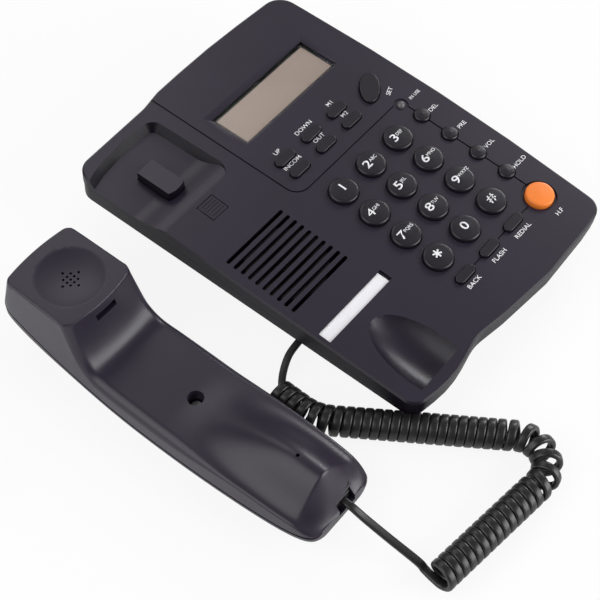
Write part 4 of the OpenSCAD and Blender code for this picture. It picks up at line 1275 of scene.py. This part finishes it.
# What is cut out of the shells; bores are given as radius and height

DISH_Y = 64.0
DISH_R = 16.5
DISH_DEPTH = 2.0
DISH_STEPS = 14
DISH_RIM = ((DISH_R + 0.5, EAR_H + 0.35), (DISH_R + 0.6, EAR_H + 3))
POCKET_TOP = 43.8
POCKET_BORE = ((16.6, 5), (16.6, POCKET_TOP))
SOUND_BORE = ((0.65, POCKET_TOP - 1), (0.65, EAR_H + 2))
SOUND_PITCH = 2.32
SOUND_REACH = 5.1
SLOT = ((-6.0, 38, 40.2), (6.0, 49, 43.6))
SCREW_Y = -9.0
SCREW_BORE = ((1.5, 0), (1.5, 11), (3.5, 11), (3.5, 18.9), (3.9, 19.6), (4.1, 24))
SHAFT_BORE = ((1.5, 3), (1.5, 33))
MIC_Y = -68.0
MIC_TOP = 33.0
MIC_BORE = ((4.9, 5), (4.9, MIC_TOP))
MIC_HOLE = ((0.9, MIC_TOP - 1), (0.9, MIC_TOP + 10))
SOCKET = (3.0, -89.5, 18.5)
ROOM_LOW, ROOM_HIGH = (-6.65, -0.01, -5.15), (6.65, 14.1, 5.15)
MOUTH_LOW, MOUTH_HIGH = (-5.3, -10, -3.8), (5.3, 1, 3.8)


def dish_bore():
    """The earpiece's shallow round dish, with a small step at its rim."""
    radius = (DISH_R ** 2 + DISH_DEPTH ** 2) / (2 * DISH_DEPTH)
    floor = EAR_H - DISH_DEPTH
    made = []
    for k in range(1, DISH_STEPS + 1):
        r = DISH_R * k / DISH_STEPS
        made.append((r, floor + radius - math.sqrt(radius ** 2 - r ** 2)))
    return made + list(DISH_RIM)


def socket_cutters():
    """The plug socket's room, and its mouth in the end of the handset."""
    made = []
    for low, high in ((ROOM_LOW, ROOM_HIGH), (MOUTH_LOW, MOUTH_HIGH)):
        cutter = bmesh.new()
        block(cutter, [a + b for a, b in zip(SOCKET, low)], [a + b for a, b in zip(SOCKET, high)])
        made.append(cutter)
    return made


def front_cutters():
    """The front's dish, rooms and screw bore, then its slot and sound holes, then the socket."""
    rooms = bmesh.new()
    lathe(rooms, 0, DISH_Y, dish_bore(), 96)
    lathe(rooms, 0, DISH_Y, POCKET_BORE, 64)
    lathe(rooms, 0, SCREW_Y, SCREW_BORE, 40)
    lathe(rooms, 0, MIC_Y, MIC_BORE, 32)
    holes = bmesh.new()
    block(holes, *SLOT)
    spots = [(SOUND_PITCH * i, SOUND_PITCH * j) for i in (-1, 0, 1) for j in (-1, 0, 1)]
    spots += [(SOUND_REACH * i, SOUND_REACH * j) for i, j in ((1, 0), (0, 1), (-1, 0), (0, -1))]
    for x, y in spots:
        lathe(holes, x, DISH_Y + y, SOUND_BORE, 16)
    lathe(holes, 0, MIC_Y, MIC_HOLE, 20)
    return [rooms, holes] + socket_cutters()


class TELEPHONE_OT_handset(bpy.types.Operator):
    """Form the handset's two moulded shells"""

    bl_idname = "telephone.handset"
    bl_label = "Handset"

    def shell(self, name, half, cutters):
        mesh = carve(loft(name, hand_stations(), half), cutters)
        soften(mesh, SHELL_ANGLE)
        return add_piece(name, mesh, plastic("body_plastic"), "handset", "body")

    def execute(self, context):
        groove = sizes().seam_groove / MM
        front = self.shell("handset_front", lambda y: front_half(y, groove), front_cutters())
        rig.replaces(front, "handset_front_shell")
        shaft = bmesh.new()
        lathe(shaft, 0, SCREW_Y, SHAFT_BORE, 24)
        back = self.shell("handset_back", back_half, [shaft] + socket_cutters())
        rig.replaces(back, "handset_back_shell")
        return {"FINISHED"}


# The stage; levels are given as seen by other rays and by the camera's

CAMERA_LENS = 86.42
SENSOR_WIDTH = 36
CAMERA_AT = (-0.3486, -0.2600, 0.5768)
CAMERA_TURN = (34.02, 0, -50.6)
FLOOR_HALF = 3
FLOOR_DROP = 0.0001
FLOOR_COLOUR = (0.86, 0.86, 0.86, 1)
FLOOR_ROUGH = 0.9
FLOOR_GLOW = (0.4, 0.88)
SKY_COLOUR = (1, 1, 1, 1)
SKY_LEVEL = (0.2, 1.0)
LIGHT_AIM = (-0.03, 0, 0)
LIGHTS = (
    ("key_light", (-0.9, 0.33, 0.68), 1.2, 9.5),
    ("back_light", (0.35, 0.8, 0.95), 0.6, 2.1),
    ("front_light", (0.42, -1.0, 0.42), 0.85, 13.0),
    ("right_light", (1.15, 0.15, 0.58), 0.45, 6.5))


def by_ray(tree, levels):
    """A level for other rays and a level for the camera's."""
    path = tree.nodes.new("ShaderNodeLightPath")
    return map_range(tree, path.outputs["Is Camera Ray"], (0, 1), levels)


def floor_white():
    """Pale floor that glows, the more so to the camera."""
    made, tree, shader = node_material("floor_white")
    if tree is None:
        return made
    shader.inputs["Base Color"].default_value = FLOOR_COLOUR
    shader.inputs["Roughness"].default_value = FLOOR_ROUGH
    glow = tree.nodes.new("ShaderNodeEmission")
    mix = tree.nodes.new("ShaderNodeMixShader")
    tree.links.new(by_ray(tree, FLOOR_GLOW), mix.inputs["Fac"])
    tree.links.new(shader.outputs["BSDF"], mix.inputs[1])
    tree.links.new(glow.outputs["Emission"], mix.inputs[2])
    tree.links.new(mix.outputs["Shader"], tree.nodes["Material Output"].inputs["Surface"])
    return made


class TELEPHONE_OT_stage(bpy.types.Operator):
    """Set up the camera, the pale floor and the soft light"""

    bl_idname = "telephone.stage"
    bl_label = "Stage"

    def camera(self, scene):
        lens = bpy.data.cameras.new("camera")
        lens.lens = CAMERA_LENS
        lens.sensor_width = SENSOR_WIDTH
        view = put("camera", lens)
        view.location = CAMERA_AT
        view.rotation_euler = [math.radians(angle) for angle in CAMERA_TURN]
        scene.camera = view

    def floor(self):
        mesh = bpy.data.meshes.new("floor")
        corners = [(x * FLOOR_HALF, y * FLOOR_HALF, -FLOOR_DROP)
                   for x, y in ((-1, -1), (1, -1), (1, 1), (-1, 1))]
        mesh.from_pydata(corners, [], [(0, 1, 2, 3)])
        mesh.materials.append(floor_white())
        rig.stage(put("floor", mesh))

    def world(self, scene):
        world = bpy.data.worlds.new("studio")
        world.use_nodes = True
        tree = world.node_tree
        sky = tree.nodes["Background"]
        sky.inputs["Color"].default_value = SKY_COLOUR
        tree.links.new(by_ray(tree, SKY_LEVEL), sky.inputs["Strength"])
        scene.world = world

    def lamp(self, name, place, size, power):
        light = bpy.data.lights.new(name, "AREA")
        light.size = size
        light.energy = power
        lamp = put(name, light)
        lamp.location = place
        aim = Vector(LIGHT_AIM) - Vector(place)
        lamp.rotation_euler = aim.to_track_quat("-Z", "Y").to_euler()

    def execute(self, context):
        scene = context.scene
        scene.view_settings.view_transform = "Standard"
        self.camera(scene)
        self.floor()
        self.world(scene)
        for light in LIGHTS:
            self.lamp(*light)
        return {"FINISHED"}


class TELEPHONE_PT_panel(bpy.types.Panel):
    """Sizes, colours and the making of each piece"""

    bl_label = "Telephone"
    bl_idname = "TELEPHONE_PT_panel"
    bl_space_type = "VIEW_3D"
    bl_region_type = "UI"
    bl_category = "Telephone"

    def draw(self, context):
        column = self.layout.column()
        for group in (context.scene.telephone_sizes, context.scene.telephone_colours):
            for name in group.__annotations__:
                column.prop(group, name)
        for made in MAKING:
            column.operator(made.bl_idname)


MAKING = (
    TELEPHONE_OT_stage, TELEPHONE_OT_cord, TELEPHONE_OT_housings, TELEPHONE_OT_fittings,
    TELEPHONE_OT_keys, TELEPHONE_OT_printing, TELEPHONE_OT_display, TELEPHONE_OT_handset)
CLASSES = (TelephoneSizes, TelephoneColours) + MAKING + (TELEPHONE_PT_panel,)


def register():
    for made in CLASSES:
        bpy.utils.register_class(made)
    bpy.types.Scene.telephone_sizes = PointerProperty(type=TelephoneSizes)
    bpy.types.Scene.telephone_colours = PointerProperty(type=TelephoneColours)


def unregister():
    del bpy.types.Scene.telephone_colours
    del bpy.types.Scene.telephone_sizes
    for made in reversed(CLASSES):
        bpy.utils.unregister_class(made)


def main():
    register()
    for made in MAKING:
        getattr(bpy.ops.telephone, made.bl_idname.split(".")[1])()
    with open("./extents.json", "w") as out:
        json.dump({"cad": CAD_BOX, "visual": [list(corner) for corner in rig.bounds()]}, out)


if __name__ == "__main__":
    main()
